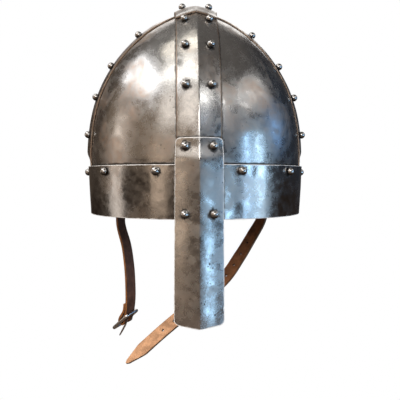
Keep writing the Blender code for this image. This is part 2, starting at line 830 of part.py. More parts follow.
def buckle_outline(bar, across, heading):
    """The frame's wire: two sides, a near end over the strap and a far end for the tongue."""
    half = STRAP_WIDTH / 2.0 + BUCKLE_SIDE_PLAY + BUCKLE_WIRE_RADIUS
    corners = (
        # side, distance from the bar, start angle
        (1.0, BUCKLE_LENGTH, 0.0),
        (-1.0, BUCKLE_LENGTH, 90.0),
        (-1.0, -BUCKLE_NEAR_LENGTH, 180.0),
        (1.0, -BUCKLE_NEAR_LENGTH, 270.0),
    )
    points = []
    for side, reach, start in corners:
        middle_x = side * (half - BUCKLE_CORNER)
        middle_y = reach - math.copysign(BUCKLE_CORNER, reach)
        for step in range(4):
            angle = math.radians(start + 30.0 * step)
            points.append(bar + across * (middle_x + BUCKLE_CORNER * math.cos(angle))
                          + heading * (middle_y + BUCKLE_CORNER * math.sin(angle)))
    return points, half


def make_buckle_frame(kit, material):
    """A rounded wire frame with a bar across its middle, which sits in the strap's fold."""
    bar, across, ahead, _, _, _ = buckle_seat()
    points, half = buckle_outline(bar, across, buckle_heading(ahead, across))
    item = make_wire("buckle_frame", points, BUCKLE_WIRE_RADIUS, True, kit["parts"], material)
    ends = (bar - across * half, bar + across * half)
    rod = make_wire("middle_bar", ends, BUCKLE_WIRE_RADIUS * 0.96, False, kit["cutters"], material)
    rod.hide_render = True
    rod.display_type = "WIRE"
    set_origin(item, bar)
    join = item.modifiers.new("bar", "BOOLEAN")
    join.operation = "UNION"
    join.object = rod


def make_buckle_tongue(kit, material):
    """An eye round the bar and a prong, stiff in the fold and so not quite hanging down."""
    bar, across, _, face, _, _ = buckle_seat()
    hanging = (across * UP.dot(across) - UP).normalized()
    heading = Matrix.Rotation(math.radians(TONGUE_LEAN), 3, across) @ hanging
    front = across.cross(heading).normalized()
    if front.dot(face) < 0.0:
        front = -front
    inner = BUCKLE_WIRE_RADIUS + TONGUE_PLAY
    outer = inner + 2.0 * TONGUE_RADIUS * 0.8
    shape = bmesh.new()
    bmesh.ops.create_cone(shape, cap_ends=True, segments=12, radius1=outer, radius2=outer,
                          depth=TONGUE_EYE_WIDTH)
    turn = Matrix((heading, front, across)).transposed().to_4x4()
    bmesh.ops.transform(shape, matrix=Matrix.Translation(bar) @ turn, verts=shape.verts)
    bmesh.ops.recalc_face_normals(shape, faces=shape.faces)
    mesh = bpy.data.meshes.new("buckle_tongue")
    shape.to_mesh(mesh)
    shape.free()
    item = add_object("buckle_tongue", mesh, kit["parts"], material)
    rest = BUCKLE_WIRE_RADIUS + GAP + TONGUE_RADIUS
    root = (inner + outer) / 2.0
    prong = [
        bar + heading * (root * 0.75) + front * (root * 0.45),
        bar + heading * (BUCKLE_LENGTH * 0.45) + front * (rest * 0.80),
        bar + heading * BUCKLE_LENGTH + front * rest,
        bar + heading * (BUCKLE_LENGTH + TONGUE_OVERHANG + BUCKLE_WIRE_RADIUS) + front * (rest * 0.9),
    ]
    blade = make_wire("tongue_prong", prong, TONGUE_RADIUS, False, kit["cutters"], material)
    blade.hide_render = True
    blade.display_type = "WIRE"
    join = item.modifiers.new("prong", "BOOLEAN")
    join.operation = "UNION"
    join.object = blade
    bore = bmesh.new()
    bmesh.ops.create_cone(bore, cap_ends=True, segments=12, radius1=inner, radius2=inner,
                          depth=TONGUE_EYE_WIDTH * 2.0)
    bmesh.ops.transform(bore, matrix=Matrix.Translation(bar) @ turn, verts=bore.verts)
    bmesh.ops.recalc_face_normals(bore, faces=bore.faces)
    bore_mesh = bpy.data.meshes.new("tongue_bore")
    bore.to_mesh(bore_mesh)
    bore.free()
    cutter = add_object("tongue_bore", bore_mesh, kit["cutters"])
    cutter.hide_render = True
    cutter.display_type = "WIRE"
    cut = item.modifiers.new("eye", "BOOLEAN")
    cut.operation = "DIFFERENCE"
    cut.object = cutter


def cut_holes(kit):
    """Each sheet loses its rivet holes in one cut."""
    for name, cutters in kit["holes"].items():
        group = bpy.data.collections.new(name + "_holes")
        kit["cutters"].children.link(group)
        for cutter in cutters:
            group.objects.link(cutter)
        cut = kit["parts"].objects[name].modifiers.new("holes", "BOOLEAN")
        cut.operation = "DIFFERENCE"
        cut.operand_type = "COLLECTION"
        cut.collection = group
        cut.solver = "EXACT"


def main():
    clear_scene()
    materials = {name: make_material(name) for name in MATERIALS}
    parts = new_collection("spangenhelm")
    cutters = new_collection("cutters")
    kit = {"parts": parts, "cutters": cutters, "holes": {}, "meshes": {},
           "rivet": materials["rivet_steel"]}
    for back in (False, True):
        for right in (False, True):
            end = "back" if back else "front"
            side = "right" if right else "left"
            make_plate(f"plate_{end}_{side}", right, back, parts, materials["plate_steel"])
    make_side_band("side_band_left", -1.0, parts, materials["band_steel"])
    make_side_band("side_band_right", 1.0, parts, materials["band_steel"])
    make_front_band(parts, materials["band_steel"])
    make_back_band(parts, materials["band_steel"])
    make_brow_band(parts, materials["band_steel"])
    make_nasal(parts, materials["band_steel"])
    make_long_strap(kit, materials["tan_leather"])
    make_buckle_strap(kit, materials["dark_leather"])
    make_buckle_frame(kit, materials["buckle_steel"])
    make_buckle_tongue(kit, materials["buckle_steel"])
    make_band_rivets(kit)
    make_apex_rivets(kit)
    make_nasal_rivets(kit)
    make_brow_rivets(kit)
    cut_holes(kit)


main()
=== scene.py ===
"""Finish of a riveted steel spangenhelm helmet with a nasal and an open leather chin strap.

Every sheet is laid again over the frame's dome as a fine hammered sheet, each rivet is turned
as a polished dome, and the straps get their grain, cut edges and punched holes.
Metres, +Z up, the face looks along -Y. Left and right in names are as seen from the front,
so left is at -X.
"""

import math

import bmesh
import bpy
from mathutils import Euler, Matrix, Vector, kdtree, noise


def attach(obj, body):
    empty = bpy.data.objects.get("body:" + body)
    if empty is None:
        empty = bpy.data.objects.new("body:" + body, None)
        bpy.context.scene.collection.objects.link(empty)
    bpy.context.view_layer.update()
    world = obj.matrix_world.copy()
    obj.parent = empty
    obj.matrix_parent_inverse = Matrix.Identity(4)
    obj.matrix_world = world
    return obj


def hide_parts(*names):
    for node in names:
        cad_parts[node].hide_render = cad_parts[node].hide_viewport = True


bl_info = {
    "name": "Spangenhelm Finish",
    "version": (1, 0, 0),
    "blender": (4, 5, 0),
    "location": "View3D > Sidebar > Helmet",
    "description": "Hammered plates, domed rivets and leather straps of a spangenhelm helmet",
    "category": "Add Mesh",
}

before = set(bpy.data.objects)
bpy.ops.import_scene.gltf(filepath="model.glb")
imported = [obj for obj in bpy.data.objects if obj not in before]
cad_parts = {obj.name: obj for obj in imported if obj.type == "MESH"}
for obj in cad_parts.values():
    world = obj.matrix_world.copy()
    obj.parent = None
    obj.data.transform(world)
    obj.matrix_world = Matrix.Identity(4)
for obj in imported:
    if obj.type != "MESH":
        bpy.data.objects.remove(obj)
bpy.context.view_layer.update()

# Dome: the plates' outer surface, with the same values as the frame's source
DOME_HALF_WIDTH = 0.101
DEPTH_PER_WIDTH = 1.143
SPRING_HEIGHT = 0.050
DOME_RISE = 0.1465
DOME_BULGE = 1.35
DOME_CROWN = 0.833
RIM_TAPER = 0.0028
SEARCH_ABOVE = 0.004
SEARCH_BELOW = 0.030
SEARCH_HALVINGS = 24
SLOPE_STEP = 0.00005

# Sheet metal
SHEET = 0.0015
GAP = 0.0004
BROW_HEIGHT = 0.045
PLATE_LOW_EDGE = 0.032
PLATE_EDGE_INSET = 0.003
PLATE_TIP_REACH = 0.0065

# Bands
BAND_WIDTH_TOP = 0.0375
BAND_WIDTH_BROW = 0.0355
BAND_LOW_EDGE = 0.018
RIDGE_RISE = 0.0041
RIDGE_SHARE_AT_APEX = 0.45
RIDGE_FADE = 0.013
RIDGE_FLAT = 0.002
RIDGE_GROW_START = 0.020
RIDGE_GROW_END = 0.045
CROSSING_FLAT = 0.021
CROSSING_EASE = 0.038
FRONT_BAND_END = 0.004
BACK_BAND_LAP = 0.044
LAP_MARGIN = 0.006
LAP_EASE = 0.012
SIDE_BAND_END = 0.005

# Nasal
NASAL_TOP = 0.066
NASAL_DROP = 0.087
NASAL_WIDTH_TOP = 0.0365
NASAL_WIDTH_TIP = 0.038
NASAL_CORNER = 0.0035
NASAL_POINT = 0.0025
NASAL_STEP = 0.0025

# Rivets
RIVET_HEAD_RADIUS = 0.0035
RIVET_HEAD_HEIGHT = 0.0047
RIVET_SHANK_RADIUS = 0.0016
RIVET_TAIL = 0.001
RIVET_INSET = 0.0079
BROW_RIVET_HEIGHT = 0.0397
NASAL_LOW_RIVET_HEIGHT = 0.005
NASAL_HIGH_RIVET_HEIGHT = 0.059
APEX_RIVET_REACH = 0.012
FRONT_RIVET_ROWS = (0.402, 0.648, 0.850)
BACK_RIVET_ROWS = (0.402, 0.648, 0.850)
SIDE_RIVET_ROWS = (0.174, 0.416, 0.618, 0.819)

# Straps
STRAP_WIDTH = 0.014
STRAP_THICKNESS = 0.0025
STRAP_PLAN_ANGLE = 125.0
STRAP_TOP = 0.047
STRAP_WALL_RUN = 0.040
STRAP_WALL_GAP = 0.0009
LONG_STRAP_DROP = 0.154
BUCKLE_STRAP_DROP = 0.124
STRAP_POINT_LENGTH = 0.021
STRAP_TIP_WIDTH = 0.003
STRAP_HOLE_RADIUS = 0.0016
STRAP_HOLE_PITCH = 0.0145
STRAP_FIRST_HOLE = 0.049
STRAP_HOLE_COUNT = 10
FOLD_RETURN = 0.022
BROW_RIVET_ANGLES = (19.5, 50.0, 90.0, STRAP_PLAN_ANGLE)

# Buckle
BUCKLE_WIRE_RADIUS = 0.00175
BUCKLE_SIDE_PLAY = 0.0012
BUCKLE_LENGTH = 0.014
BUCKLE_NEAR_LENGTH = 0.014
BUCKLE_CORNER = 0.004
BUCKLE_SWING = 30.0
TONGUE_RADIUS = 0.0011
TONGUE_EYE_WIDTH = 0.003
TONGUE_OVERHANG = 0.008
TONGUE_LEAN = 36.0
TONGUE_SLOT_PLAY = 0.001
TONGUE_SLOT_ABOVE = 0.0055
TONGUE_PLAY = 0.0003

# Hanging part of each strap, in shares of the dome's half width, half depth and the drop
LONG_STRAP_STATIONS = (
    # side, depth, drop, yaw
    (0.745, 0.52, 0.070, 55.0),
    (0.640, 0.47, 0.185, 46.0),
    (0.488, 0.38, 0.330, 42.0),
    (0.312, 0.30, 0.475, 42.0),
    (0.000, 0.22, 0.640, 45.0),
    (-0.273, 0.15, 0.775, 48.0),
    (-0.525, 0.10, 0.912, 50.0),
    (-0.686, 0.08, 1.000, 52.0),
)
BUCKLE_STRAP_STATIONS = (
    # side, depth, drop, yaw
    (0.790, 0.53, 0.120, 60.0),
    (0.725, 0.51, 0.330, 55.0),
    (0.690, 0.50, 0.545, 52.0),
    (0.680, 0.50, 0.755, 52.0),
    (0.692, 0.53, 0.900, 54.0),
    (0.718, 0.57, 1.000, 55.0),
)

# Fineness of the meshes
CELL = 0.0016
STRAP_STEPS = 110
FOLD_STEPS = 18
RETURN_STEPS = 16
# Rows of the buckle strap above its fold that stay flat, so that the fold fits the bar
FLAT_ROWS = 12
PLATE_COLUMNS = 78
BROW_COLUMN = 0.9
TURN_STEP = 0.001
CURVE_STEPS = 16
RIVET_SIDES = 24
DOME_STEPS = 8
STRAP_COLUMNS = (-1.0, -0.93, -0.8, -0.6, -0.4, -0.2, 0.0, 0.2, 0.4, 0.6, 0.8, 0.93, 1.0)
# Leather closes up a little round a punched hole
HOLE_SPRING_BACK = 0.68
WELD = 0.00001
SHARP_ANGLE = 50.0
WIRE_WELD = 0.000005
WIRE_SHARP_ANGLE = 60.0
WIRE_SIDES = 16
TONGUE_SIDES = 12
EYE_STEPS = 24
# The tongue's eye is bent round this share of a full turn
EYE_CLOSED = 0.86
CORNER_STEPS = 8
# A sheet's face that looks this squarely inwards gets the inner finish
LOOKS_INWARDS = -0.6
# A strap's face that looks less squarely to either side than this is its cut edge
LOOKS_SIDEWAYS = 0.72
# The last share of a strap's point is rounded
TIP_ROUNDING = 0.07

# What the hand left uneven
FINE_HAMMER_SHARE = 0.45
RIVET_LEAN = 0.05
LEATHER_WAVE = 0.00025
LEATHER_WAVES_ACROSS = 60.0
LEATHER_WAVES_ALONG = 45.0

# How far dirt, stain and painted shadow reach, in full and fading out
RIVET_GRIME = (0.0037, 0.0058)
# Painted shadow on a sheet along the edge of the sheet that covers it
SEAM_SHADOW = (0.0005, 0.0022)
HOLE_STAIN = (0.0017, 0.0027)
HANDLED_EDGE = (0.0002, 0.0014)
# The long strap is darker from here upwards, measured from its top end: painted shade from the helmet
# above it, with darker oiled leather
SHADED_AND_OILED_STRETCH = (0.150, 0.205)

UP = Vector((0.0, 0.0, 1.0))
FRONT = Vector((0.0, -1.0, 0.0))
# What several operators share: the rivets' seats and the shader node groups
WORKSHOP = {}


class HelmetSizes(bpy.types.PropertyGroup):
    """Sizes of the finish that a user may change."""

    hammer_depth: bpy.props.FloatProperty(
        name="Hammer depth", description="How far the sheets stray from the true dome",
        default=0.00022, min=0.0, max=0.001, precision=5, unit="LENGTH")
    hammer_size: bpy.props.FloatProperty(
        name="Hammer size", description="Width of one soft hammered hollow",
        default=0.022, min=0.005, max=0.1, precision=4, unit="LENGTH")
    edge_radius: bpy.props.FloatProperty(
        name="Edge radius", description="Rounding of the filed sheet edges",
        default=0.0004, min=0.0, max=0.0007, precision=5, unit="LENGTH")
    leather_radius: bpy.props.FloatProperty(
        name="Leather edge radius", description="Rounding of the straps' cut edges",
        default=0.0004, min=0.0, max=0.001, precision=5, unit="LENGTH")


class HelmetColours(bpy.types.PropertyGroup):
    """Colours of the finish that a user may change."""

    steel: bpy.props.FloatVectorProperty(
        name="Steel", description="Bare burnished steel", subtype="COLOR", size=3,
        default=(0.70, 0.69, 0.675), min=0.0, max=1.0)
    stain: bpy.props.FloatVectorProperty(
        name="Stain", description="Brown heat and rust stain on the steel", subtype="COLOR",
        size=3, default=(0.56, 0.37, 0.24), min=0.0, max=1.0)
    # Also the colour of painted shade: along covering edges and on the rivets' feet and undersides
    grime: bpy.props.FloatVectorProperty(
        name="Grime", description="Dark dirt round rivets and along seams", subtype="COLOR",
        size=3, default=(0.035, 0.026, 0.020), min=0.0, max=1.0)
    grain: bpy.props.FloatVectorProperty(
        name="Grain side", description="Dark dyed face of the leather", subtype="COLOR",
        size=3, default=(0.135, 0.066, 0.045), min=0.0, max=1.0)
    cut_edge: bpy.props.FloatVectorProperty(
        name="Cut edge", description="Raw edge of the dark strap", subtype="COLOR",
        size=3, default=(0.30, 0.120, 0.040), min=0.0, max=1.0)
    flesh: bpy.props.FloatVectorProperty(
        name="Flesh side", description="Undyed inner face of the long strap", subtype="COLOR",
        size=3, default=(0.64, 0.35, 0.19), min=0.0, max=1.0)


def ease(value, low, high):
    """Smooth step from 0 at low to 1 at high."""
    share = min(1.0, max(0.0, (value - low) / (high - low)))
    return share * share * (3.0 - 2.0 * share)


def profile(turn):
    """Half width and height of the dome: turn 0 is the apex, 1 the spring line, 2 the rim."""
    if turn <= 1.0:
        angle = turn * math.pi / 2.0
        half_width = DOME_HALF_WIDTH * math.sin(angle) ** DOME_BULGE
        return half_width, SPRING_HEIGHT + DOME_RISE * math.cos(angle) ** DOME_CROWN
    return DOME_HALF_WIDTH - RIM_TAPER * (turn - 1.0), SPRING_HEIGHT * (2.0 - turn)


def turn_at_height(height):
    if height <= SPRING_HEIGHT:
        return 2.0 - height / SPRING_HEIGHT
    share = (height - SPRING_HEIGHT) / DOME_RISE
    return math.acos(share ** (1.0 / DOME_CROWN)) / (math.pi / 2.0)


def turn_at_half_width(half_width):
    share = half_width / DOME_HALF_WIDTH
    return math.asin(share ** (1.0 / DOME_BULGE)) / (math.pi / 2.0)


def half_width_at(height):
    if height >= SPRING_HEIGHT + DOME_RISE:
        return SPRING_HEIGHT + DOME_RISE - height
    return profile(turn_at_height(height))[0]


def outside_dome(point):
    """Positive outside the plates' outer surface, negative inside."""
    return math.hypot(point.x, point.y / DEPTH_PER_WIDTH) - half_width_at(point.z)


def dome_normal(point):
    slope = Vector()
    for axis in range(3):
        shift = Vector()
        shift[axis] = SLOPE_STEP
        slope[axis] = outside_dome(point + shift) - outside_dome(point - shift)
    return slope.normalized()


def drop_to_dome(start, inward):
    """The point of the dome reached from start along inward."""
    near, far = -SEARCH_ABOVE, SEARCH_BELOW
    for _ in range(SEARCH_HALVINGS):
        middle = (near + far) / 2.0
        if outside_dome(start + inward * middle) > 0.0:
            near = middle
        else:
            far = middle
    return start + inward * near


def hammered(point):
    """Soft hollows and swells left by the hammer, the same for every layer at one place."""
    sizes = bpy.context.scene.helmet_sizes
    broad = noise.noise(point / sizes.hammer_size)
    fine = noise.noise(point / sizes.hammer_size * 2.3 + Vector((7.0, 3.0, 1.0)))
    return sizes.hammer_depth * (broad + FINE_HAMMER_SHARE * fine)


def lifted(point, lift):
    """A point of the dome raised along its normal, with the hammer's marks."""
    return point + dome_normal(point) * (lift + hammered(point))


def wall_point(plan_angle, height, lift):
    """A point at a plan angle from the face, lift outside the plates' outer surface."""
    half_width = half_width_at(height)
    angle = math.radians(plan_angle)
    depth = half_width * DEPTH_PER_WIDTH
    point = Vector((half_width * math.sin(angle), -depth * math.cos(angle), height))
    return lifted(point, lift)


def band_half_width(turn):
    return (BAND_WIDTH_TOP + (BAND_WIDTH_BROW - BAND_WIDTH_TOP) * min(1.0, abs(turn))) / 2.0


def over_dome(heading, across, turn):
    """Where a strip that runs along heading meets the dome, across from its middle line."""
    half_width, height = profile(abs(turn))
    reach = math.copysign(half_width, turn)
    if heading.y:
        reach *= DEPTH_PER_WIDTH
    base = heading * reach + UP * height
    inward = -dome_normal(base) if abs(turn) > 0.001 else -UP
    side = UP.cross(heading)
    return drop_to_dome(base + side * across, inward)


def brow_fade(height):
    """The bands' ridge is beaten flat where the brow band covers it."""
    low = BROW_HEIGHT + RIDGE_FLAT
    return ease(height, low, low + RIDGE_FADE)


def main_lift(reach):
    """Inner face of the front and back bands above the plates, at a distance from the apex."""
    return GAP + (SHEET + GAP) * (1.0 - ease(reach, CROSSING_FLAT, CROSSING_EASE))


def main_ridge(reach, height, across_share):
    growth = ease(reach, RIDGE_GROW_START, RIDGE_GROW_END)
    grown = RIDGE_SHARE_AT_APEX + (1.0 - RIDGE_SHARE_AT_APEX) * growth
    return RIDGE_RISE * grown * brow_fade(height) * (1.0 - abs(across_share))


def front_band_point(across_share, turn, extra=0.0):
    point = over_dome(FRONT, across_share * band_half_width(turn), turn)
    reach = profile(abs(turn))[0] * DEPTH_PER_WIDTH
    return lifted(point, main_lift(reach) + extra + main_ridge(reach, point.z, across_share))


def back_band_point(across_share, turn, extra=0.0):
    """Runs up the back, over the apex and over the top end of the front band."""
    point = over_dome(-FRONT, across_share * band_half_width(turn), turn)
    reach = profile(abs(turn))[0] * DEPTH_PER_WIDTH
    forward = -math.copysign(reach, turn)
    lap_start = FRONT_BAND_END - LAP_MARGIN
    lap = (SHEET + GAP) * ease(forward, lap_start - LAP_EASE, lap_start)
    return lifted(point, main_lift(reach) + lap + extra
                  + main_ridge(reach, point.z, across_share))


def side_band_point(hand, across_share, turn, extra=0.0):
    heading = Vector((hand, 0.0, 0.0))
    point = over_dome(heading, across_share * band_half_width(turn), turn)
    grown = ease(profile(turn)[0], CROSSING_FLAT, CROSSING_EASE) * brow_fade(point.z)
    return lifted(point, GAP + RIDGE_RISE * grown * (1.0 - abs(across_share)) + extra)


def nasal_half_width(height):
    share = (NASAL_TOP - height) / (NASAL_TOP + NASAL_DROP)
    return (NASAL_WIDTH_TOP + (NASAL_WIDTH_TIP - NASAL_WIDTH_TOP) * share) / 2.0


def nasal_point(across_share, height, extra=0.0):
    """Lies on the front band above, on the brow band below, then hangs straight down."""
    layer = SHEET + GAP
    on_wall = max(height, 0.0)
    point = over_dome(FRONT, across_share * nasal_half_width(height), turn_at_height(on_wall))
    step = BROW_HEIGHT + NASAL_STEP
    over_brow = 1.0 - ease(on_wall, step, step + RIDGE_FADE)
    lift = GAP + layer + layer * over_brow + extra + RIDGE_RISE * (1.0 - abs(across_share))
    beaten = hammered(Vector((point.x, point.y, height)))
    point += dome_normal(point) * (lift + beaten)
    point.z += height - on_wall
    return point


def rounded_end(across_share, half_width, corner):
    """How far a rounded corner draws an end back at this place across."""
    past = abs(across_share) * half_width - (half_width - corner)
    if past <= 0.0:
        return 0.0
    return corner - math.sqrt(max(0.0, corner * corner - past * past))


def surface_frame(place, across, along, across_step, along_step):
    """A point of a surface and its outward normal."""
    point = place(across, along)
    first = place(across + across_step, along) - place(across - across_step, along)
    second = place(across, along + along_step) - place(across, along - along_step)
    normal = first.cross(second).normalized()
    if normal.dot(point - Vector((0.0, 0.0, SPRING_HEIGHT))) < 0.0:
        normal = -normal
    return point, normal


def rivet_share(half_width):
    """Place of a rivet across a band as a share of its half width, set in from the edge."""
    return 1.0 - RIVET_INSET / half_width


def even_marks(low, high, step):
    """Values from low to high, at most step apart."""
    count = max(2, math.ceil(abs(high - low) / step))
    return [low + (high - low) * number / count for number in range(count + 1)]


def run_lengths(points):
    """How far the way along a row of points has run at each of them."""
    lengths = [0.0]
    for first, second in zip(points, points[1:]):
        lengths.append(lengths[-1] + math.dist(first, second))
    return lengths


def ridge_marks():
    """Shares across a ridged sheet, closer together at its edges and its ridge."""
    side = [0.02, 0.06, *even_marks(0.13, 0.93, 0.09), 0.975, 1.0]
    return [-share for share in reversed(side)] + [0.0] + side


def dome_rows(top, low):
    """Turns from top to low, one cell apart along the way over the dome."""
    turns = even_marks(top, low, TURN_STEP)
    outline = [(math.copysign(profile(abs(turn))[0], turn), profile(abs(turn))[1])
               for turn in turns]
    runs = run_lengths(outline)
    rows = []
    place = 0
    for goal in even_marks(0.0, runs[-1], CELL):
        while place < len(runs) - 1 and runs[place] < goal:
            place += 1
        rows.append(turns[place])
    return rows


def rivet_plan():
    """Name, seat, outward normal and length below the head of every rivet."""
    plan = []
    over_plate = SHEET + GAP + RIVET_TAIL

    def add(name, point, normal, past):
        seat = point + normal * GAP
        foot = drop_to_dome(seat, -normal)
        plan.append((name, seat, normal, (seat - foot).length + past))

    runs = (
        ("front", front_band_point, FRONT_RIVET_ROWS),
        ("back", back_band_point, BACK_RIVET_ROWS),
        ("left", lambda a, t, e: side_band_point(-1.0, a, t, e), SIDE_RIVET_ROWS),
        ("right", lambda a, t, e: side_band_point(1.0, a, t, e), SIDE_RIVET_ROWS),
    )
    for run, surface, rows in runs:
        for row, share in enumerate(rows, start=1):
            turn = turn_at_height(SPRING_HEIGHT + DOME_RISE * share)
            for letter, hand in (("a", -1.0), ("b", 1.0)):
                across = hand * rivet_share(band_half_width(turn))
                spot = surface_frame(lambda a, t: surface(a, t, SHEET), across, turn, 0.05, 0.01)
                add(f"rivet_{run}_{row}{letter}", *spot, over_plate)
    turn = turn_at_half_width(APEX_RIVET_REACH / DEPTH_PER_WIDTH)
    for end, way in (("front", -1.0), ("back", 1.0)):
        for side, hand in (("left", -1.0), ("right", 1.0)):
            across = -hand * rivet_share(band_half_width(turn))
            spot = surface_frame(lambda a, t: back_band_point(a, t, SHEET),
                                 across, way * turn, 0.05, 0.01)
            add(f"rivet_apex_{end}_{side}", *spot, over_plate)
    levels = (("high", NASAL_HIGH_RIVET_HEIGHT, over_plate),
              ("low", NASAL_LOW_RIVET_HEIGHT, RIVET_TAIL - 2.0 * GAP - SHEET))
    for level, height, past in levels:
        for side, hand in (("left", -1.0), ("right", 1.0)):
            across = hand * rivet_share(nasal_half_width(height))
            spot = surface_frame(lambda a, z: nasal_point(a, z, SHEET), across, height, 0.05, 0.001)
            add(f"rivet_nasal_{level}_{side}", *spot, past)

    def brow(angle, height):
        return wall_point(angle, height, 2.0 * (GAP + SHEET))

    for side, hand in (("left", -1.0), ("right", 1.0)):
        for number, angle in enumerate(BROW_RIVET_ANGLES, start=1):
            strap = STRAP_THICKNESS + STRAP_WALL_GAP if angle == STRAP_PLAN_ANGLE else 0.0
            spot = surface_frame(brow, hand * angle, BROW_RIVET_HEIGHT, 0.5, 0.001)
            add(f"rivet_brow_{number}_{side}", *spot, over_plate + strap)
        off_middle = BAND_WIDTH_BROW / 2.0 - RIVET_INSET
        angle = 180.0 - math.degrees(off_middle / DOME_HALF_WIDTH)
        spot = surface_frame(brow, hand * angle, BROW_RIVET_HEIGHT, 0.5, 0.001)
        add(f"rivet_nape_{side}", *spot, over_plate)
    return plan


def point_tree(points):
    tree = kdtree.KDTree(len(points))
    for index, point in enumerate(points):
        tree.insert(point, index)
    tree.balance()
    return tree


def rivet_layout():
    """The rivet plan and a tree of its seats, worked out the first time that they are wanted."""
    if "rivets" not in WORKSHOP:
        plan = rivet_plan()
        WORKSHOP["rivets"] = (plan, point_tree([seat for _, seat, _, _ in plan]))
    return WORKSHOP["rivets"]


def border_points(shape):
    """Points along the open border of a sheet, a quarter of a cell apart."""
    points = []
    for edge in shape.edges:
        if edge.is_boundary:
            first, second = (vertex.co for vertex in edge.verts)
            count = max(1, math.ceil(edge.calc_length() / (CELL / 4.0)))
            points += [first.lerp(second, step / count) for step in range(count + 1)]
    return points


def lay_grid(across_marks, along_marks, place):
    """A smooth grid of quads laid over place(across, along), welded where it meets itself."""
    shape = bmesh.new()
    columns = len(across_marks) - 1
    rows = len(along_marks) - 1
    bmesh.ops.create_grid(shape, x_segments=columns, y_segments=rows, size=0.5)
    for vertex in shape.verts:
        column = round((vertex.co.x + 0.5) * columns)
        row = round((vertex.co.y + 0.5) * rows)
        vertex.co = place(across_marks[column], along_marks[row])
    bmesh.ops.remove_doubles(shape, verts=shape.verts, dist=WELD)
    for face in shape.faces:
        face.smooth = True
    shape.normal_update()
    return shape


def mark_wear(shape, rivets, seam):
    """Writes each point's distance to the border, a rivet and a covering sheet's edge."""
    rim = shape.verts.layers.float.new("rim")
    rivet = shape.verts.layers.float.new("rivet")
    joint = shape.verts.layers.float.new("seam")
    border = point_tree(border_points(shape))
    for vertex in shape.verts:
        vertex[rim] = border.find(vertex.co)[2]
        vertex[rivet] = rivets.find(vertex.co)[2]
        vertex[joint] = seam(vertex.co)


def plain_mesh(name, item):
    """The evaluated mesh of an object, which is then removed."""
    bpy.context.view_layer.update()
    mesh = bpy.data.meshes.new_from_object(item.evaluated_get(
        bpy.context.evaluated_depsgraph_get()))
    bpy.data.objects.remove(item, do_unlink=True)
    mesh.name = name
    return mesh


def show(name, mesh, body, slot, *nodes):
    """Puts a finished mesh in the scene in place of its nodes."""
    item = bpy.data.objects.new(name, mesh)
    bpy.context.scene.collection.objects.link(item)
    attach(item, body)
    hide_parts(*nodes)
    return item


def loose_object(name, shape):
    """A working object made from a bmesh, which is freed."""
    mesh = bpy.data.meshes.new(name)
    shape.to_mesh(mesh)
    shape.free()
    item = bpy.data.objects.new(name, mesh)
    bpy.context.scene.collection.objects.link(item)
    return item


def round_edges(item, radius):
    soft = item.modifiers.new("soft", "BEVEL")
    soft.width = radius
    soft.segments = 2
    soft.limit_method = "ANGLE"
    soft.angle_limit = math.radians(SHARP_ANGLE)
    soft.harden_normals = True


def sheet_piece(node, across_marks, along_marks, place, offset, seam, materials):
    """A hammered sheet with its thickness, rounded edges and a rougher inner face."""
    shape = lay_grid(across_marks, along_marks, place)
    middle = Vector((0.0, 0.0, SPRING_HEIGHT))
    facing = sum(face.normal.dot(face.calc_center_median() - middle) for face in shape.faces)
    if facing < 0.0:
        bmesh.ops.reverse_faces(shape, faces=shape.faces)
    mark_wear(shape, rivet_layout()[1], seam)
    item = loose_object("work_" + node, shape)
    wall = item.modifiers.new("wall", "SOLIDIFY")
    wall.thickness = SHEET
    wall.offset = offset
    wall.use_even_offset = True
    round_edges(item, bpy.context.scene.helmet_sizes.edge_radius)
    mesh = plain_mesh(node + "_sheet", item)
    for name in materials:
        mesh.materials.append(steel_material(name))
    for face in mesh.polygons:
        outward = dome_normal(Vector((face.center.x, face.center.y, max(0.001, face.center.z))))
        face.material_index = 1 if face.normal.dot(outward) < LOOKS_INWARDS else 0
    slot = "plate_steel" if node.startswith("plate") else "band_steel"
    return show(node + "_sheet", mesh, "helmet", slot, node)


def no_seam(_):
    return 1.0


def seam_on_plate(point):
    """Distance from the nearest band's edge or the brow band's top."""
    turn = turn_at_height(min(point.z, SPRING_HEIGHT + DOME_RISE - 0.0001))
    half = band_half_width(min(1.0, turn))
    return min(abs(point.x) - half, abs(point.y) - half, point.z - BROW_HEIGHT)


def seam_on_band(point):
    """Distance above the brow band's top."""
    return point.z - BROW_HEIGHT


def seam_on_side_band(point):
    """Distance from the brow band's top and from the crossing."""
    return min(seam_on_band(point), abs(point.x) - BAND_WIDTH_TOP / 2.0)


def seam_on_front_band(point):
    """Distance from the nasal's top edge and from the back band's lap."""
    past_lap = -point.y - BACK_BAND_LAP * 0.97
    return min(max(point.z - NASAL_TOP, 0.0), past_lap)


def seam_on_brow(point):
    """Distance from the nasal's edge."""
    if point.y > 0.0:
        return 1.0
    return abs(point.x) - nasal_half_width(point.z)


class HELMET_OT_plates(bpy.types.Operator):
    """Lay the four hammered plates of the dome"""

    bl_idname = "helmet.plates"
    bl_label = "Dome Plates"
    bl_options = {"REGISTER", "UNDO"}

    def execute(self, context):
        top = turn_at_half_width(PLATE_TIP_REACH)
        low = turn_at_height(PLATE_LOW_EDGE)
        columns = even_marks(0.0, 1.0, 1.0 / PLATE_COLUMNS)
        rows = dome_rows(top, low)
        for end, back in (("front", False), ("back", True)):
            for side, right in (("left", False), ("right", True)):

                def place(across, turn, back=back, right=right):
                    half_width, height = profile(turn)
                    start = math.asin(PLATE_EDGE_INSET / half_width)
                    stop = math.acos(PLATE_EDGE_INSET / (half_width * DEPTH_PER_WIDTH))
                    angle = start + (stop - start) * across
                    x = half_width * math.sin(angle)
                    y = half_width * DEPTH_PER_WIDTH * math.cos(angle)
                    return lifted(Vector((x if right else -x, y if back else -y, height)), 0.0)

                sheet_piece(f"plate_{end}_{side}", columns, rows, place, -1.0,
                            seam_on_plate, ("plate_finish", "inner_finish"))
        return {"FINISHED"}


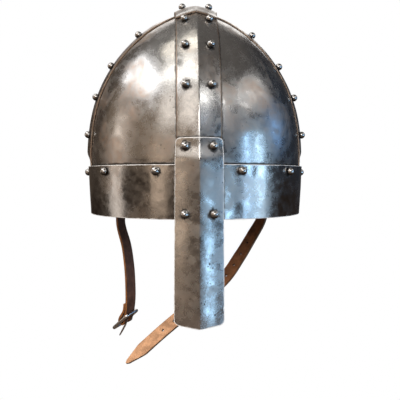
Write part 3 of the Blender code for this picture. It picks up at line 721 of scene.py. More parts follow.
class HELMET_OT_bands(bpy.types.Operator):
    """Lay the four ridged bands that hold the plates"""

    bl_idname = "helmet.bands"
    bl_label = "Ridged Bands"
    bl_options = {"REGISTER", "UNDO"}

    def execute(self, context):
        low = turn_at_height(BAND_LOW_EDGE)
        finish = ("band_finish", "inner_finish")
        front_top = turn_at_half_width(FRONT_BAND_END / DEPTH_PER_WIDTH)
        sheet_piece("front_band", ridge_marks(), dome_rows(front_top, low), front_band_point,
                    1.0, seam_on_front_band, finish)
        back_top = -turn_at_half_width(BACK_BAND_LAP / DEPTH_PER_WIDTH)
        sheet_piece("back_band", ridge_marks(), dome_rows(back_top, low), back_band_point,
                    1.0, seam_on_band, finish)
        side_top = turn_at_half_width(SIDE_BAND_END)
        for side, hand in (("left", -1.0), ("right", 1.0)):
            sheet_piece(f"side_band_{side}", ridge_marks(), dome_rows(side_top, low),
                        lambda a, t, hand=hand: side_band_point(hand, a, t),
                        1.0, seam_on_side_band, finish)
        return {"FINISHED"}


class HELMET_OT_brow_band(bpy.types.Operator):
    """Lay the closed band round the rim"""

    bl_idname = "helmet.brow_band"
    bl_label = "Brow Band"
    bl_options = {"REGISTER", "UNDO"}

    def execute(self, context):
        lift = 2.0 * GAP + SHEET
        rows = [BROW_HEIGHT * share for share in
                (1.0, 0.985, 0.95, *reversed(even_marks(0.05, 0.9, 0.05)), 0.015, 0.0)]
        sheet_piece("brow_band", even_marks(0.0, 360.0, BROW_COLUMN), rows,
                    lambda angle, height: wall_point(-angle, height, lift),
                    1.0, seam_on_brow, ("brow_finish", "inner_finish"))
        return {"FINISHED"}


class HELMET_OT_nasal(bpy.types.Operator):
    """Lay the ridged nose guard"""

    bl_idname = "helmet.nasal"
    bl_label = "Nasal"
    bl_options = {"REGISTER", "UNDO"}

    def execute(self, context):
        def place(share, along):
            top_half = nasal_half_width(NASAL_TOP)
            tip_half = nasal_half_width(-NASAL_DROP)
            top = NASAL_TOP - rounded_end(share, top_half, NASAL_CORNER)
            tip = (-NASAL_DROP + NASAL_POINT * abs(share)
                   + rounded_end(share, tip_half, NASAL_CORNER))
            return nasal_point(share, top + (tip - top) * along)

        rows = [0.0, 0.004, *even_marks(0.011, 0.989, CELL / (NASAL_TOP + NASAL_DROP)), 0.996, 1.0]
        sheet_piece("nasal", ridge_marks(), rows, place, 1.0, no_seam,
                    ("nasal_finish", "inner_finish"))
        return {"FINISHED"}


def rivet_outline(length):
    """Half outline of a domed rivet from its top down to its peened tail."""
    radius = RIVET_HEAD_RADIUS
    waist = RIVET_HEAD_HEIGHT - radius
    outline = []
    for step in range(DOME_STEPS + 1):
        angle = math.pi / 2.0 * step / DOME_STEPS
        outline.append((radius * math.sin(angle), waist + radius * math.cos(angle)))
    foot = radius * 0.9
    outline += [(radius * 0.985, waist * 0.5), (foot, waist * 0.08), (foot * 0.96, 0.0)]
    shank = RIVET_SHANK_RADIUS
    outline += [(shank, 0.0), (shank, -length + RIVET_TAIL * 0.9)]
    peened = shank * 1.5
    outline += [(peened, -length + RIVET_TAIL * 0.8), (peened * 1.02, -length + RIVET_TAIL * 0.5)]
    outline += [(peened * 0.85, -length + RIVET_TAIL * 0.15), (peened * 0.5, -length), (0.0, -length)]
    return outline


def rivet_mesh(name, seat, normal, length, number):
    """A rivet turned from its outline and seated, a little askew as a hand hammers it."""
    shape = bmesh.new()
    points = [shape.verts.new((x, 0.0, z)) for x, z in rivet_outline(length)]
    edges = [shape.edges.new(pair) for pair in zip(points, points[1:])]
    bmesh.ops.spin(shape, geom=points + edges, axis=UP, cent=(0.0, 0.0, 0.0),
                   angle=2.0 * math.pi, steps=RIVET_SIDES, use_merge=True)
    bmesh.ops.remove_doubles(shape, verts=shape.verts, dist=WELD)
    bmesh.ops.recalc_face_normals(shape, faces=shape.faces)
    rise = shape.verts.layers.float.new("rise")
    for vertex in shape.verts:
        vertex[rise] = vertex.co.z / RIVET_HEAD_HEIGHT
    for face in shape.faces:
        face.smooth = True
    lean = Euler((RIVET_LEAN * math.sin(number * 2.1), RIVET_LEAN * math.cos(number * 1.3), 0.0))
    turn = UP.rotation_difference(normal).to_matrix() @ lean.to_matrix()
    bmesh.ops.transform(shape, matrix=Matrix.Translation(seat) @ turn.to_4x4(),
                        verts=shape.verts)
    shape.normal_update()
    # How far each point faces down, for the painted shade on a head's underside
    under = shape.verts.layers.float.new("under")
    for vertex in shape.verts:
        vertex[under] = -vertex.normal.z
    mesh = bpy.data.meshes.new(name + "_dome")
    shape.to_mesh(mesh)
    shape.free()
    mesh.set_sharp_from_angle(angle=math.radians(SHARP_ANGLE))
    mesh.materials.append(steel_material("rivet_finish"))
    return mesh


class HELMET_OT_rivets(bpy.types.Operator):
    """Turn the polished domed rivets, each with its peened tail"""

    bl_idname = "helmet.rivets"
    bl_label = "Rivets"
    bl_options = {"REGISTER", "UNDO"}

    def execute(self, context):
        for number, (name, *fit) in enumerate(rivet_layout()[0]):
            mesh = rivet_mesh(name, *fit, number)
            show(name + "_dome", mesh, "helmet", "rivet_steel", name)
        return {"FINISHED"}


def smooth_route(points, count):
    """Points read evenly by chord from a Catmull-Rom curve through the given ones."""
    padded = [points[0] * 2.0 - points[1], *points, points[-1] * 2.0 - points[-2]]
    dense = []
    for index in range(1, len(padded) - 2):
        a, b, c, d = padded[index - 1:index + 3]
        for step in range(CURVE_STEPS):
            t = step / CURVE_STEPS
            dense.append(0.5 * (2.0 * b + (c - a) * t + (2.0 * a - 5.0 * b + 4.0 * c - d) * t * t
                                + (3.0 * b - a - 3.0 * c + d) * t ** 3))
    dense.append(padded[-2])
    lengths = run_lengths(dense)
    route = []
    index = 0
    for number in range(count + 1):
        wanted = lengths[-1] * number / count
        while index < len(lengths) - 2 and lengths[index + 1] < wanted:
            index += 1
        span = lengths[index + 1] - lengths[index]
        route.append(dense[index].lerp(dense[index + 1], (wanted - lengths[index]) / span))
    return route, lengths[-1]


def blend_along(guide, values, route):
    """The guide points' values carried to each point of the route."""
    lengths = run_lengths(guide)
    carried = []
    for number in range(len(route)):
        wanted = lengths[-1] * number / (len(route) - 1)
        index = max(i for i in range(len(lengths) - 1) if lengths[i] <= wanted + 1e-12)
        share = (wanted - lengths[index]) / (lengths[index + 1] - lengths[index])
        carried.append(values[index] + (values[index + 1] - values[index]) * share)
    return carried


def strap_route(hand, stations, drop, count):
    """Middle line of a strap as (point, direction, face), from its top end."""
    inset = SHEET + STRAP_WALL_GAP + STRAP_THICKNESS / 2.0
    angle = hand * STRAP_PLAN_ANGLE
    wall = wall_point(angle, BROW_RIVET_HEIGHT, 0.0)
    outward = dome_normal(wall)
    wall_yaw = math.degrees(math.atan2(abs(outward.x), abs(outward.y)))
    guide = [wall_point(angle, STRAP_TOP - STRAP_WALL_RUN * mark / 3.0, -inset)
             for mark in range(4)]
    yaws = [wall_yaw] * len(guide)
    for side, depth, fall, yaw in stations:
        guide.append(Vector((hand * side * DOME_HALF_WIDTH,
                             depth * DOME_HALF_WIDTH * DEPTH_PER_WIDTH, -fall * drop)))
        yaws.append(yaw)
    route, length = smooth_route(guide, count)
    frames = []
    for index, (point, turned) in enumerate(zip(route, blend_along(guide, yaws, route))):
        ahead = (route[min(index + 1, count)] - route[max(index - 1, 0)]).normalized()
        yaw = math.radians(turned)
        face = Vector((-hand * math.sin(yaw), -math.cos(yaw), 0.0))
        frames.append((point, ahead, (face - ahead * face.dot(ahead)).normalized()))
    return frames, length


def place_on_route(frames, share, offset):
    """Point, direction, face and side of a route at a share of its length."""
    exact = share * (len(frames) - 1)
    index = min(int(exact), len(frames) - 2)
    rest = exact - index
    point = frames[index][0].lerp(frames[index + 1][0], rest)
    ahead = frames[index][1].lerp(frames[index + 1][1], rest).normalized()
    face = frames[index][2].lerp(frames[index + 1][2], rest).normalized()
    across = face.cross(ahead).normalized()
    return point + across * offset, ahead, face, across


def buckle_seat():
    """Bar centre, bar direction, strap direction, strap face, route and its length."""
    frames, length = strap_route(-1.0, BUCKLE_STRAP_STATIONS, BUCKLE_STRAP_DROP, STRAP_STEPS)
    point, ahead, face, across = place_on_route(frames, 1.0, 0.0)
    offset = BUCKLE_WIRE_RADIUS + GAP + STRAP_THICKNESS / 2.0
    return point - face * offset, across, ahead, face, frames, length


def cut_through(item, cutters):
    """Has each cutter cut its hole through the working object."""
    for cutter in cutters:
        cut = item.modifiers.new(cutter.name, "BOOLEAN")
        cut.operation = "DIFFERENCE"
        cut.solver = "EXACT"
        cut.object = cutter


def strap_piece(node, slot, path, strap_point, cutters, holes, materials):
    """A leather strap swept along path, with a face, a back and a cut edge."""
    rows = len(path) - 1
    lengths = run_lengths([spot[0] for spot in path])
    half = STRAP_WIDTH / 2.0
    shape = lay_grid(STRAP_COLUMNS, [row / rows for row in range(rows + 1)],
                     lambda share, along: strap_point(along, half * share))
    uv = shape.loops.layers.uv.new("strap")
    if shape.faces[:][0].normal.dot(path[0][2]) < 0.0:
        bmesh.ops.reverse_faces(shape, faces=shape.faces)
    tree = point_tree([spot[0] for spot in path])
    for face in shape.faces:
        for loop in face.loops:
            point, index, _ = tree.find(loop.vert.co)
            spot = path[index]
            side = spot[2].cross(spot[1])
            loop[uv].uv = ((loop.vert.co - point).dot(side),
                           lengths[index] + (loop.vert.co - point).dot(spot[1]))
    item = loose_object("work_" + node, shape)
    wall = item.modifiers.new("wall", "SOLIDIFY")
    wall.thickness = STRAP_THICKNESS
    wall.offset = 0.0
    wall.use_even_offset = True
    cut_through(item, cutters)
    round_edges(item, bpy.context.scene.helmet_sizes.leather_radius)
    mesh = plain_mesh(node + "_leather", item)
    for cutter in cutters:
        bpy.data.objects.remove(cutter, do_unlink=True)
    mesh.materials.clear()
    for name in materials:
        mesh.materials.append(leather_material(name))
    for face in mesh.polygons:
        index = tree.find(face.center)[1]
        looks = face.normal.dot(path[index][2])
        face.material_index = 2 if abs(looks) < LOOKS_SIDEWAYS else (0 if looks > 0.0 else 1)
        face.use_smooth = True
    hole = mesh.attributes.new("hole", "FLOAT", "POINT")
    edge = mesh.attributes.new("edge", "FLOAT", "POINT")
    near = point_tree(holes) if holes else None
    for vertex in mesh.vertices:
        hole.data[vertex.index].value = near.find(vertex.co)[2] if near else 1.0
        point, index, _ = tree.find(vertex.co)
        side = path[index][2].cross(path[index][1])
        edge.data[vertex.index].value = half - abs((vertex.co - point).dot(side))
    return show(node + "_leather", mesh, "helmet", slot, node)


def hole_cutter(name, point, axis, radius, depth):
    shape = bmesh.new()
    bmesh.ops.create_cone(shape, cap_ends=True, segments=16, radius1=radius, radius2=radius,
                          depth=depth)
    turn = UP.rotation_difference(axis).to_matrix().to_4x4()
    bmesh.ops.transform(shape, matrix=Matrix.Translation(point) @ turn, verts=shape.verts)
    return loose_object(name, shape)


def leather_wave(across, along):
    """Slight waviness of a hung strap, in metres along its face."""
    place = Vector((across * LEATHER_WAVES_ACROSS, along * LEATHER_WAVES_ALONG, 3.0))
    return LEATHER_WAVE * noise.noise(place)


class HELMET_OT_long_strap(bpy.types.Operator):
    """Hang the long strap with its punched holes and pointed end"""

    bl_idname = "helmet.long_strap"
    bl_label = "Long Strap"
    bl_options = {"REGISTER", "UNDO"}

    def execute(self, context):
        frames, length = strap_route(1.0, LONG_STRAP_STATIONS, LONG_STRAP_DROP, STRAP_STEPS)
        tip = STRAP_TIP_WIDTH / STRAP_WIDTH

        def strap_point(along, offset):
            # The last stretch draws in to the point, so the sides stay straight above it
            start = 1.0 - STRAP_POINT_LENGTH / length
            point, _, face, across = place_on_route(frames, along, 0.0)
            drawn = 1.0
            if along > start:
                past = (along - start) / (1.0 - start)
                drawn = 1.0 - (1.0 - tip) * past
                rounding = max(0.0, (past - 1.0 + TIP_ROUNDING) / TIP_ROUNDING)
                drawn *= math.sqrt(max(0.02, 1.0 - rounding ** 2))
            return point + across * (offset * drawn) + face * leather_wave(offset, along * length)

        cutters = []
        holes = []
        for number in range(STRAP_HOLE_COUNT):
            share = 1.0 - (STRAP_FIRST_HOLE + number * STRAP_HOLE_PITCH) / length
            point, _, face, _ = place_on_route(frames, share, 0.0)
            holes.append(point)
            cutters.append(hole_cutter(f"punch_{number + 1}", point, face,
                                       STRAP_HOLE_RADIUS * HOLE_SPRING_BACK,
                                       STRAP_THICKNESS * 3.0))
        strap_piece("strap_long", "tan_leather", frames, strap_point, cutters, holes,
                    ("flesh_side", "grain_side", "long_edge"))
        return {"FINISHED"}


def folded_path(bar, ahead, face, frames, length):
    """The buckle strap's route with its fold round the bar and its return behind itself."""
    radius = BUCKLE_WIRE_RADIUS + GAP + STRAP_THICKNESS / 2.0
    apart = STRAP_THICKNESS + GAP
    path = list(frames)
    for step in range(1, FOLD_STEPS + 1):
        angle = math.pi * step / FOLD_STEPS
        looks = face * math.cos(angle) + ahead * math.sin(angle)
        along = ahead * math.cos(angle) - face * math.sin(angle)
        path.append((bar + looks * radius, along, looks))
    for step in range(1, RETURN_STEPS + 1):
        share = step / RETURN_STEPS
        point, way, looks, _ = place_on_route(frames, 1.0 - FOLD_RETURN * share / length, 0.0)
        behind = 2.0 * radius + (apart - 2.0 * radius) * ease(share, 0.0, 0.75)
        path.append((point - looks * behind, -way, -looks))
    return path


def slot_cutter(bar, across, ahead, face):
    """A block as large as the slot in the fold that the tongue swings through."""
    reach = 2.0 * (BUCKLE_WIRE_RADIUS + GAP + STRAP_THICKNESS * 1.5)
    tall = TONGUE_SLOT_ABOVE + reach
    width = TONGUE_EYE_WIDTH + 2.0 * TONGUE_SLOT_PLAY
    shape = bmesh.new()
    bmesh.ops.create_cube(shape, size=1.0)
    size = Matrix.Diagonal((width, 2.0 * reach, tall, 1.0))
    turn = Matrix((across, face, ahead)).transposed().to_4x4()
    centre = bar + ahead * (tall / 2.0 - TONGUE_SLOT_ABOVE)
    bmesh.ops.transform(shape, matrix=Matrix.Translation(centre) @ turn @ size,
                        verts=shape.verts)
    bmesh.ops.recalc_face_normals(shape, faces=shape.faces)
    return loose_object("slot", shape)


class HELMET_OT_buckle_strap(bpy.types.Operator):
    """Hang the short strap, folded round the buckle's bar"""

    bl_idname = "helmet.buckle_strap"
    bl_label = "Buckle Strap"
    bl_options = {"REGISTER", "UNDO"}

    def execute(self, context):
        bar, across, ahead, face, frames, length = buckle_seat()
        path = folded_path(bar, ahead, face, frames, length)
        lengths = run_lengths([spot[0] for spot in path])
        rows = len(path) - 1

        def strap_point(along, offset):
            row = round(along * rows)
            point, way, looks = path[row]
            flat = row >= len(frames) - FLAT_ROWS
            wave = 0.0 if flat else leather_wave(offset, lengths[row])
            return point + looks.cross(way).normalized() * offset + looks * wave

        strap_piece("strap_buckle", "dark_leather", path, strap_point,
                    [slot_cutter(bar, across, ahead, face)], [],
                    ("grain_side", "grain_side", "cut_edge"))
        return {"FINISHED"}


def wire_mesh(name, points, radii, cyclic, sides):
    """A bent wire of round section along points."""
    curve = bpy.data.curves.new(name, "CURVE")
    curve.dimensions = "3D"
    curve.bevel_depth = 1.0
    curve.bevel_resolution = sides // 4
    curve.use_fill_caps = True
    spline = curve.splines.new("POLY")
    spline.points.add(len(points) - 1)
    spline.use_cyclic_u = cyclic
    for spot, point, radius in zip(spline.points, points, radii):
        spot.co = (*point, 1.0)
        spot.radius = radius
    item = bpy.data.objects.new(name, curve)
    bpy.context.scene.collection.objects.link(item)
    mesh = plain_mesh(name, item)
    bpy.data.curves.remove(curve)
    return mesh


def joined_mesh(name, meshes, finish):
    """One mesh of several closed wires, smooth, with one finish."""
    shape = bmesh.new()
    for mesh in meshes:
        shape.from_mesh(mesh)
    bmesh.ops.remove_doubles(shape, verts=shape.verts, dist=WIRE_WELD)
    bmesh.ops.recalc_face_normals(shape, faces=shape.faces)
    for face in shape.faces:
        face.smooth = True
    joined = bpy.data.meshes.new(name)
    shape.to_mesh(joined)
    shape.free()
    joined.set_sharp_from_angle(angle=math.radians(WIRE_SHARP_ANGLE))
    joined.materials.append(steel_material(finish))
    return joined


def frame_outline(bar, across, heading, half):
    """Middle line of the buckle frame's wire, with its four round corners."""
    corners = (
        # side, distance from the bar, start angle
        (1.0, BUCKLE_LENGTH, 0.0),
        (-1.0, BUCKLE_LENGTH, 90.0),
        (-1.0, -BUCKLE_NEAR_LENGTH, 180.0),
        (1.0, -BUCKLE_NEAR_LENGTH, 270.0),
    )
    points = []
    for side, reach, start in corners:
        middle = bar + across * (side * (half - BUCKLE_CORNER))
        middle += heading * (reach - math.copysign(BUCKLE_CORNER, reach))
        for step in range(CORNER_STEPS + 1):
            angle = math.radians(start + 90.0 * step / CORNER_STEPS)
            points.append(middle + across * (BUCKLE_CORNER * math.cos(angle))
                          + heading * (BUCKLE_CORNER * math.sin(angle)))
    return points


def tongue_wire(bar, across, face):
    """Middle line of the tongue's wire and its radii, from the eye's end to the prong's tip."""
    hanging = (across * UP.dot(across) - UP).normalized()
    way = Matrix.Rotation(math.radians(TONGUE_LEAN), 3, across) @ hanging
    front = across.cross(way).normalized()
    if front.dot(face) < 0.0:
        front = -front
    loop = BUCKLE_WIRE_RADIUS + TONGUE_PLAY + TONGUE_RADIUS * 0.8
    eye = []
    for step in range(EYE_STEPS + 1):
        angle = 2.0 * math.pi * EYE_CLOSED * step / EYE_STEPS
        eye.append(bar - way * (loop * math.sin(angle)) + front * (loop * math.cos(angle)))
    rest = BUCKLE_WIRE_RADIUS + GAP + TONGUE_RADIUS
    tip = BUCKLE_LENGTH + TONGUE_OVERHANG + BUCKLE_WIRE_RADIUS
    marks = even_marks(0.3, 1.0, 0.06)
    prong = [bar + way * (loop * 0.5) + front * (loop * 0.95)]
    for mark in marks:
        prong.append(bar + way * (tip * mark) + front * (rest * (1.0 - 0.1 * mark * mark)))
    radii = [TONGUE_RADIUS * 0.8] * len(eye) + [TONGUE_RADIUS * 0.9]
    radii += [TONGUE_RADIUS * (1.0 - 0.35 * mark ** 3) for mark in marks]
    radii[-1] = TONGUE_RADIUS * 0.4
    return list(reversed(eye)) + prong, radii


class HELMET_OT_buckle(bpy.types.Operator):
    """Bend the buckle's wire frame and its tongue"""

    bl_idname = "helmet.buckle"
    bl_label = "Buckle"
    bl_options = {"REGISTER", "UNDO"}

    def execute(self, context):
        bar, across, ahead, face, _, _ = buckle_seat()
        heading = Matrix.Rotation(math.radians(BUCKLE_SWING), 3, across) @ ahead
        half = STRAP_WIDTH / 2.0 + BUCKLE_SIDE_PLAY + BUCKLE_WIRE_RADIUS
        points = frame_outline(bar, across, heading, half)
        radius = BUCKLE_WIRE_RADIUS
        ring = wire_mesh("ring", points, [radius] * len(points), True, WIRE_SIDES)
        rod = wire_mesh("rod", (bar - across * half, bar + across * half),
                        [radius * 0.96] * 2, False, WIRE_SIDES)
        mesh = joined_mesh("buckle_frame_wire", (ring, rod), "buckle_finish")
        show("buckle_frame_wire", mesh, "buckle", "buckle_steel", "buckle_frame")
        prong = wire_mesh("prong", *tongue_wire(bar, across, face), False, TONGUE_SIDES)
        mesh = joined_mesh("buckle_tongue_wire", (prong,), "buckle_finish")
        show("buckle_tongue_wire", mesh, "tongue", "buckle_steel", "buckle_tongue")
        return {"FINISHED"}


def feed(tree, node, inputs):
    """Sets or links a node's inputs."""
    for key, value in inputs.items():
        if isinstance(value, bpy.types.NodeSocket):
            tree.links.new(value, node.inputs[key])
        else:
            node.inputs[key].default_value = value


def put(tree, kind, inputs=None, **settings):
    """A shader node with its settings made and its inputs set or linked."""
    made = tree.nodes.new("ShaderNode" + kind)
    for key, value in settings.items():
        setattr(made, key, value)
    feed(tree, made, inputs or {})
    return made


def maths(tree, operation, first, second=0.0):
    return put(tree, "Math", {0: first, 1: second}, operation=operation).outputs[0]


def fade(tree, value, low, high, start=0.0, end=1.0):
    """Carries value smoothly from low and high to start and end."""
    ends = {"Value": value, "From Min": low, "From Max": high, "To Min": start, "To Max": end}
    return put(tree, "MapRange", ends, interpolation_type="SMOOTHSTEP").outputs["Result"]


def tint(tree, share, first, second, blend_type="MIX"):
    """Two colours mixed by a share."""
    colours = {0: share, 6: first, 7: second}
    return put(tree, "Mix", colours, data_type="RGBA", blend_type=blend_type).outputs[2]


def clouds(tree, place, scale, detail=4.0, roughness=0.6, distortion=0.0):
    """Soft noise with lumps about one over scale metres wide."""
    values = {"Vector": place, "Scale": scale, "Detail": detail, "Roughness": roughness,
              "Distortion": distortion}
    return put(tree, "TexNoise", values).outputs["Fac"]


def stretched(tree, place, turn, scale):
    """The place turned and stretched, for streaks and scratches."""
    return put(tree, "Mapping", {"Vector": place, "Rotation": turn, "Scale": scale},
               vector_type="TEXTURE").outputs["Vector"]


def rgba(colour):
    return (*colour, 1.0)


def new_group(name, inputs, outputs):
    """An empty shader node group with named sockets, its entry and its exit."""
    tree = bpy.data.node_groups.new(name, "ShaderNodeTree")
    for label, kind, default in inputs:
        socket = tree.interface.new_socket(name=label, in_out="INPUT", socket_type=kind)
        if default is not None:
            socket.default_value = default
    for label, kind in outputs:
        tree.interface.new_socket(name=label, in_out="OUTPUT", socket_type=kind)
    return tree, tree.nodes.new("NodeGroupInput"), tree.nodes.new("NodeGroupOutput")


VECTOR = "NodeSocketVector"
NUMBER = "NodeSocketFloat"


def burnish_group():
    """Clouds of stain, tone and polish on burnished steel."""
    tree, entry, leave = new_group(
        "Burnished Clouds",
        (("Place", VECTOR, None), ("Stain Amount", NUMBER, 0.5)),
        (("Stain", NUMBER), ("Tone", NUMBER), ("Polish", NUMBER), ("Height", NUMBER)))
    place = entry.outputs["Place"]
    broad = clouds(tree, place, 24.0, 3.0, 0.55, 0.6)
    patches = clouds(tree, place, 70.0, 5.0, 0.62, 1.2)
    specks = clouds(tree, place, 420.0, 3.0, 0.6)
    wiped = clouds(tree, stretched(tree, place, (0.3, 0.5, 0.2), (1.0, 3.5, 1.0)), 160.0, 4.0)
    stain = maths(tree, "MULTIPLY", fade(tree, broad, 0.45, 0.66),
                  fade(tree, patches, 0.34, 0.62, 0.35, 1.0))
    stain = maths(tree, "MULTIPLY", stain, fade(tree, specks, 0.30, 0.62, 0.75, 1.0))
    stain = maths(tree, "MULTIPLY", stain, entry.outputs["Stain Amount"])
    tone = maths(tree, "MULTIPLY", fade(tree, patches, 0.3, 0.7, 0.90, 1.04),
                 fade(tree, specks, 0.3, 0.7, 0.95, 1.03))
    polish = maths(tree, "ADD", fade(tree, wiped, 0.35, 0.65, -0.05, 0.05),
                   fade(tree, broad, 0.4, 0.65, -0.04, 0.05))
    height = maths(tree, "ADD", maths(tree, "MULTIPLY", specks, 0.5), patches)
    feed(tree, leave, {"Stain": stain, "Tone": tone, "Polish": polish, "Height": height})
    return tree


def scratch_group():
    """Fine straight scratches that cross each other at a few angles."""
    tree, entry, leave = new_group(
        "Fine Scratches", (("Place", VECTOR, None), ("Amount", NUMBER, 0.5)),
        (("Mask", NUMBER),))
    place = entry.outputs["Place"]
    mask = None
    turns = ((0.2, 0.9, 0.4), (1.1, -0.5, 0.8), (-0.7, 0.3, -1.1))
    for number, turn in enumerate(turns):
        long_way = stretched(tree, place, turn, (1.0, 34.0, 34.0))
        lines = clouds(tree, long_way, 7000.0 + 900.0 * number, 1.0, 0.4)
        apart = clouds(tree, place, 90.0 + 30.0 * number, 2.0)
        line = maths(tree, "MULTIPLY", fade(tree, lines, 0.66, 0.74), fade(tree, apart, 0.5, 0.62))
        mask = line if mask is None else maths(tree, "MAXIMUM", mask, line)
    feed(tree, leave, {"Mask": maths(tree, "MULTIPLY", mask, entry.outputs["Amount"])})
    return tree


def pit_group():
    """Small round corrosion pits that gather in a few places."""
    tree, entry, leave = new_group(
        "Rust Pits", (("Place", VECTOR, None), ("Amount", NUMBER, 0.5)), (("Mask", NUMBER),))
    place = entry.outputs["Place"]
    cells = put(tree, "TexVoronoi", {"Vector": place, "Scale": 430.0, "Randomness": 1.0})
    dots = fade(tree, cells.outputs["Distance"], 0.34, 0.16)
    gathered = fade(tree, clouds(tree, place, 62.0, 3.0, 0.6), 0.54, 0.68)
    chosen = fade(tree, put(tree, "SeparateColor", {0: cells.outputs["Color"]}).outputs[0],
                  0.55, 0.62)
    mask = maths(tree, "MULTIPLY", maths(tree, "MULTIPLY", dots, gathered), chosen)
    feed(tree, leave, {"Mask": maths(tree, "MULTIPLY", mask, entry.outputs["Amount"])})
    return tree


def wear_group():
    """A mask along edges and ridges, broken up a little, for bright filed metal and for brown painted
    shade on the bands' edges.
    """
    tree, entry, leave = new_group(
        "Filed Edge", (("Distance", NUMBER, 1.0), ("Width", NUMBER, 0.0008),
                       ("Place", VECTOR, None)), (("Mask", NUMBER),))
    uneven = fade(tree, clouds(tree, entry.outputs["Place"], 150.0, 3.0), 0.3, 0.7, 0.5, 1.3)
    width = maths(tree, "MULTIPLY", entry.outputs["Width"], uneven)
    mask = fade(tree, maths(tree, "DIVIDE", entry.outputs["Distance"], width), 1.0, 0.35)
    feed(tree, leave, {"Mask": mask})
    return tree


def grime_and_shadow_group():
    """Dark dirt that gathers round rivet heads, and painted shadow along covering edges where the
    upper sheet shades the lower.
    """
    tree, entry, leave = new_group(
        "Gathered Grime", (("Rivet", NUMBER, 1.0), ("Seam", NUMBER, 1.0),
                           ("Place", VECTOR, None)), (("Mask", NUMBER),))
    uneven = clouds(tree, entry.outputs["Place"], 190.0, 4.0, 0.65)
    reach = fade(tree, uneven, 0.32, 0.68, 0.75, 1.35)
    rivet = maths(tree, "DIVIDE", entry.outputs["Rivet"], reach)
    seam = maths(tree, "DIVIDE", entry.outputs["Seam"], reach)
    ring = fade(tree, rivet, RIVET_GRIME[1], RIVET_GRIME[0])
    corner = fade(tree, seam, SEAM_SHADOW[1], SEAM_SHADOW[0])
    mask = maths(tree, "MAXIMUM", ring, maths(tree, "MULTIPLY", corner, 1.1))
    feed(tree, leave, {"Mask": mask})
    return tree


def grain_group():
    """Pebbled grain and soft creases of leather."""
    tree, entry, leave = new_group(
        "Leather Grain", (("Place", VECTOR, None), ("Size", NUMBER, 900.0)),
        (("Tone", NUMBER), ("Height", NUMBER)))
    place = entry.outputs["Place"]
    cells = put(tree, "TexVoronoi", {"Vector": place, "Scale": entry.outputs["Size"]},
                feature="SMOOTH_F1").outputs["Distance"]
    creases = clouds(tree, stretched(tree, place, (0.0, 0.0, 0.0), (1.0, 5.0, 1.0)), 700.0, 3.0)
    worn = clouds(tree, place, 110.0, 4.0, 0.6)
    tone = maths(tree, "MULTIPLY", fade(tree, worn, 0.3, 0.7, 0.72, 1.3),
                 fade(tree, cells, 0.1, 0.7, 1.08, 0.82))
    height = maths(tree, "ADD", maths(tree, "MULTIPLY", creases, 0.7),
                   maths(tree, "SUBTRACT", 1.0, cells))
    feed(tree, leave, {"Tone": tone, "Height": height})
    return tree


GROUPS = {
    "burnish": burnish_group,
    "scratch": scratch_group,
    "pit": pit_group,
    "wear": wear_group,
    "grime": grime_and_shadow_group,
    "grain": grain_group,
}


def use_group(tree, name, inputs):
    """The outputs of a shader node group, which is built the first time that it is wanted."""
    if name not in WORKSHOP:
        WORKSHOP[name] = GROUPS[name]()
    return put(tree, "Group", inputs, node_tree=WORKSHOP[name]).outputs


# How each steel surface is finished
STEEL_FINISHES = {
    # name: (tone, roughness, stain, scratches, pits, edge width, ridge width, grime and painted
    # shadow)
    # An edge width above zero is filed bright, below zero is darkened brown as painted shade along
    # the edge
    "plate_finish": (0.95, 0.28, 0.60, 0.35, 0.5, 0.0, 0.0, 1.0),
    "band_finish": (1.0, 0.26, 0.40, 0.35, 0.4, -0.0016, 0.0011, 1.0),
    "brow_finish": (0.97, 0.22, 0.28, 0.40, 0.4, 0.0009, 0.0, 1.0),
    "nasal_finish": (1.0, 0.27, 0.24, 0.60, 0.9, 0.0010, 0.0012, 1.0),
    "inner_finish": (0.34, 0.50, 0.90, 0.20, 0.6, 0.0, 0.0, 0.6),
    "rivet_finish": (1.00, 0.16, 0.10, 0.15, 0.2, 0.0, 0.0, 0.0),
    "buckle_finish": (1.30, 0.20, 0.15, 0.30, 0.2, 0.0, 0.0, 0.0),
}
PIT_SPOTS = (
    # x, z of single pits on the nasal, and their radius
    (0.0081, -0.0352, 0.0007),
    (0.0127, -0.0763, 0.0008),
)


def attribute(tree, name):
    return put(tree, "Attribute", attribute_name=name).outputs["Fac"]


def new_material(name):
    """A new material and its node tree."""
    material = bpy.data.materials.new(name)
    material.use_nodes = True
    return material, material.node_tree


